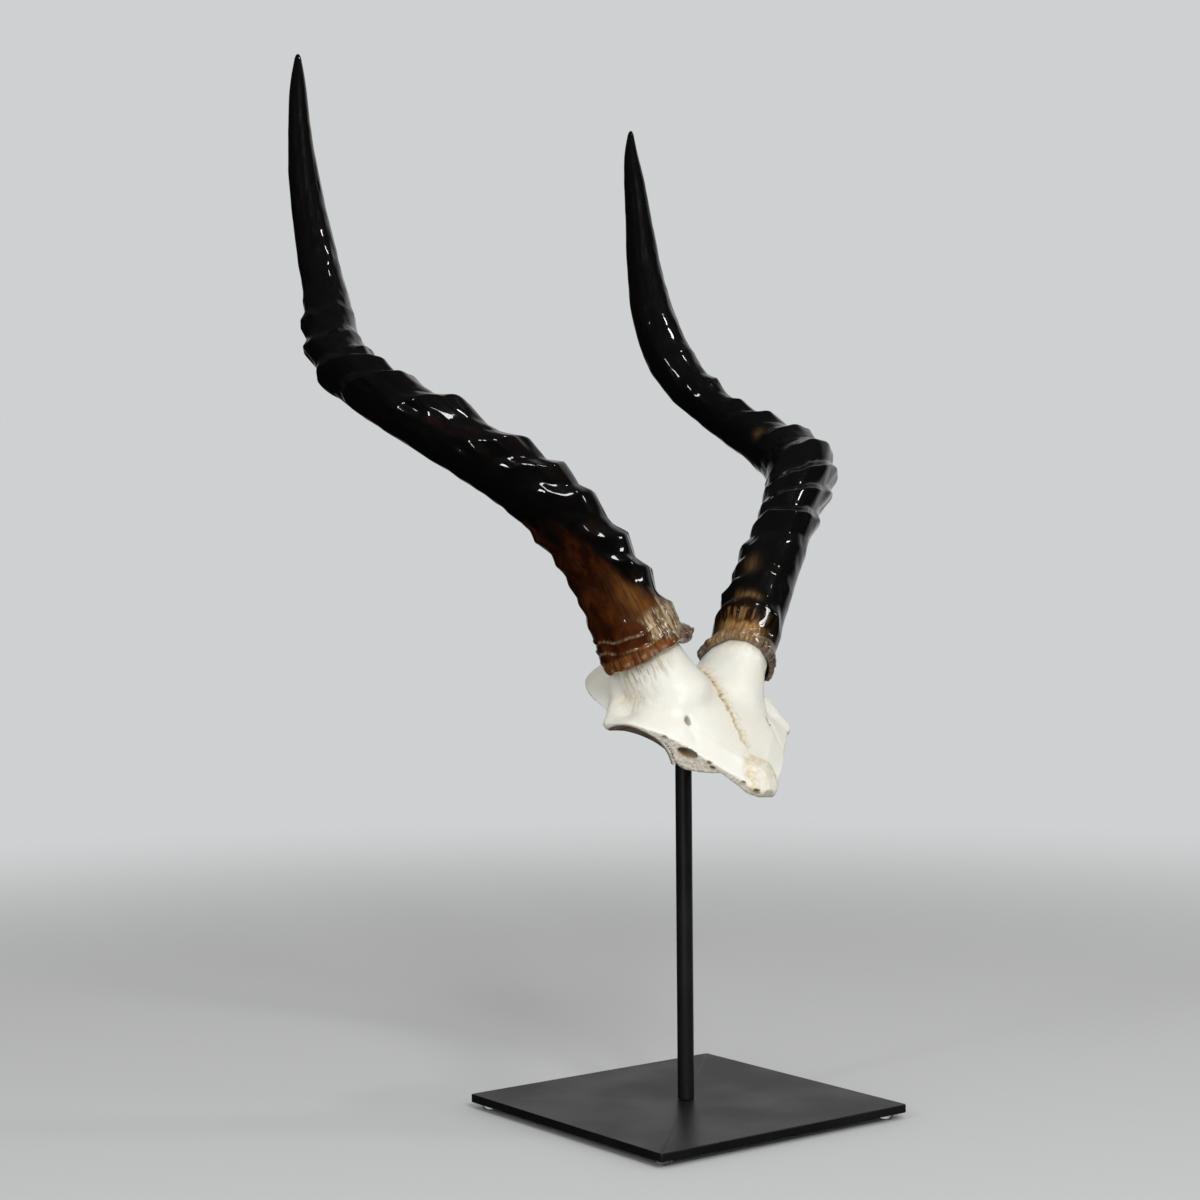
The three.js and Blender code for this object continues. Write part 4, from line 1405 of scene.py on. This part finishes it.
def make_plate():
    """Square plate with eased edges and a countersunk hole for the screw."""
    outline = rounded_square(PLATE_SIDE / 2, PLATE_CORNER, CORNER_STEPS)
    sides = len(outline)
    angles = np.arctan2(outline[:, 1], outline[:, 0])
    circle = np.stack([np.cos(angles), np.sin(angles)], -1)
    rows = []

    def add(shape, height):
        rows.append(np.column_stack([shape, np.full(sides, height)]))

    add(circle * SCREW_HOLE_R, 0.0)
    low = PLATE_EDGE - PLATE_THICK
    eased = rounded((PLATE_EDGE, 0), (PLATE_EDGE, -PLATE_EDGE), (0, -PLATE_EDGE), EDGE_STEPS)
    eased += rounded((0, low), (PLATE_EDGE, low), (PLATE_EDGE, -PLATE_THICK), EDGE_STEPS)
    for inset, height in eased:
        add(outline * (1 - inset / (PLATE_SIDE / 2)), height)
    add(circle * SINK_R, -PLATE_THICK)
    add(circle * SCREW_HOLE_R, -PLATE_THICK + SINK_DEEP)
    rows.append(rows[0])
    points = np.concatenate(rows[:-1])
    faces = grid_faces(len(rows) - 1, sides)
    start = (len(rows) - 2) * sides
    faces += [[start + j, start + (j + 1) % sides, (j + 1) % sides, j] for j in range(sides)]
    obj = new_object("plate", points, [face[::-1] for face in faces])
    obj.data.set_sharp_from_angle(angle=SHARP_ANGLE)
    for face in obj.data.polygons:
        face.use_smooth = face.area < FLAT_FACE
    return obj


def make_rod():
    """Black rod with the screw's hole in its foot."""
    r = ROD_D / 2
    hole = SCREW_HOLE_R
    profile = [(0, 12.3), (hole, 12.0), (hole, ROD_GAP)]
    profile += rounded((r - 0.3, ROD_GAP), (r - 0.3, ROD_GAP + 0.3), (r, ROD_GAP + 0.3), 3)
    profile += [(r, 60.0), (r, 130.0)]
    profile += [(r, ROD_TOP - ROD_CHAMFER), (r - ROD_CHAMFER, ROD_TOP), (0, ROD_TOP)]
    obj = turned("rod_visual", profile, 72)
    obj.data.set_sharp_from_angle(angle=SHARP_ANGLE)
    return obj


def make_foot(name, x, y):
    """Bumper foot: a low dome, flat where it stands, stuck under the plate."""
    bottom = -PLATE_THICK - FOOT_HIGH
    top = -PLATE_THICK
    profile = [(0, bottom)]
    profile += rounded((FOOT_FACE_D / 2, bottom), (FOOT_FACE_D / 2, bottom + FOOT_ROUND_HIGH),
                       (FOOT_D / 2, bottom + FOOT_ROUND_HIGH), 8)
    profile += [(FOOT_D / 2, top - 0.25), (FOOT_D / 2 - 0.2, top - 0.02), (0, top - 0.02)]
    return turned(name, profile, 48, (x, y))


paint = black_paint_material()
rubber = clear_rubber_material()
piece(make_plate(), "base_plate", paint)
piece(make_rod(), "rod", paint)
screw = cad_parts["rod_screw"]
steel = steel_material()
for place in screw.material_slots:
    place.material = steel
for end, y_side in (("front", -1), ("back", 1)):
    for side, x_side in (("right", -1), ("left", 1)):
        reach = PLATE_SIDE / 2 - FOOT_INSET
        foot = make_foot(f"bumper_{end}_{side}", x_side * reach, y_side * reach)
        piece(foot, f"foot_{end}_{side}", rubber)

# ---- floor, light and world ----

FLOOR_R = 1.7
FLOOR_SIDES = 96
FLOOR_DROP = 0.0002
FLOOR_CLEAR = 0.42
FLOOR_GONE = 1.25
WALL_TONE = rgb(0.62, 0.635, 0.64)
ROOM_TONE = rgb(0.8, 0.8, 0.8)
SOFT_LIGHT = 0.42
# Direction from the object to the pale wall that its lacquer mirrors
BEHIND = (0.87, 0.46, 0.14)
LIGHT_TARGET = (0.0, 0.0, 0.28)
WHITE = (1.0, 1.0, 1.0)
DAYLIGHT = (0.97, 0.99, 1.0)
WARM = (1.0, 0.98, 0.95)
CREAM = (1.0, 0.99, 0.97)

# Name, place, width and height, power, tone, and whether the lacquer mirrors it. The first two
# are panes of one window behind the camera, and the last two are broad fills.
LIGHTS = [
    ("pane_left", (-0.80, -1.75, 1.35), (0.32, 0.70), 13, DAYLIGHT, True),
    ("pane_right", (-0.40, -1.84, 1.35), (0.32, 0.70), 13, DAYLIGHT, True),
    ("lamp", (0.55, -0.75, 1.75), (0.14, 0.14), 2.2, WARM, True),
    ("low_pane", (0.95, -1.25, 0.55), (0.12, 0.30), 2, DAYLIGHT, True),
    ("side_pane", (-1.7, -0.35, 1.0), (0.16, 0.45), 4, DAYLIGHT, True),
    ("near_pane", (-1.5, -1.3, 0.30), (0.14, 0.30), 3, DAYLIGHT, True),
    ("ceiling", (-0.5, -0.5, 2.0), (1.6, 1.4), 4.5, WHITE, False),
    ("front_fill", (-1.8, -0.8, 0.9), (1.2, 1.0), 4.5, CREAM, False),
]


def make_floor():
    """Pale disc that fades into the background some way from the object."""
    n = Nodes("floor")
    place = n.make("ShaderNodeTexCoord").outputs["Object"]
    far = n.make("ShaderNodeVectorMath", {0: place}, operation="LENGTH").outputs["Value"]
    n.set(base_color=rgb(0.56, 0.565, 0.56), roughness=0.75, specular_ior_level=0.2)
    clear = n.make("ShaderNodeBsdfTransparent").outputs[0]
    join = n.make("ShaderNodeMixShader", {
        0: n.band(far, FLOOR_CLEAR, FLOOR_GONE), 1: n.shader.outputs[0], 2: clear})
    n.put(n.tree.nodes["Material Output"].inputs["Surface"], join.outputs[0])
    angles = np.linspace(0, 2 * np.pi, FLOOR_SIDES, endpoint=False)
    points = [(FLOOR_R * math.cos(a), FLOOR_R * math.sin(a), -FLOOR_DROP) for a in angles]
    mesh = bpy.data.meshes.new("floor")
    mesh.from_pydata(points, [], [list(range(FLOOR_SIDES))])
    obj = bpy.data.objects.new("floor", mesh)
    bpy.context.scene.collection.objects.link(obj)
    mesh.materials.append(n.material)
    # The lacquered undersides stay dark, as they do over the photo's dark wood
    obj.visible_glossy = False


def area_light(name, place, size, power, tone, mirrored):
    """One panel of light, aimed at the middle of the object."""
    data = bpy.data.lights.new(name, "AREA")
    data.energy = power
    data.color = tone
    data.shape = "RECTANGLE"
    data.size, data.size_y = size
    obj = bpy.data.objects.new(name, data)
    obj.visible_glossy = mirrored
    obj.location = place
    aim = Vector(LIGHT_TARGET) - Vector(place)
    obj.rotation_euler = aim.to_track_quat("-Z", "Y").to_euler()
    bpy.context.scene.collection.objects.link(obj)


def make_world():
    """Soft light from all round; mirrored, only the pale wall behind the object is bright."""
    world = bpy.data.worlds.new("studio")
    bpy.context.scene.world = world
    n = Nodes("studio", world)
    place = n.make("ShaderNodeTexCoord").outputs["Generated"]
    facing = n.make("ShaderNodeVectorMath", {0: place, 1: BEHIND}, operation="DOT_PRODUCT")
    wall = n.band(facing.outputs["Value"], 0.60, 0.97, 0.004, 0.66)
    height = n.make("ShaderNodeSeparateXYZ", {0: place}).outputs["Z"]
    above = n.make("ShaderNodeMapRange", {
        "Value": height, "From Min": 0.1, "From Max": 0.95, "To Min": 0.0, "To Max": 0.06})
    room = n.math("MAXIMUM", wall, above.outputs["Result"])
    path = n.make("ShaderNodeLightPath").outputs
    by_gloss = n.make("ShaderNodeMixShader", {
        0: path["Is Glossy Ray"], 1: n.background(rgb(1, 1, 1), SOFT_LIGHT),
        2: n.background(ROOM_TONE, room)})
    by_camera = n.make("ShaderNodeMixShader", {
        0: path["Is Camera Ray"], 1: by_gloss.outputs[0], 2: n.background(WALL_TONE, 1.0)})
    n.put(n.tree.nodes["World Output"].inputs["Surface"], by_camera.outputs[0])


make_floor()
make_world()
for light in LIGHTS:
    area_light(*light)
bpy.context.scene.view_settings.view_transform = "Standard"
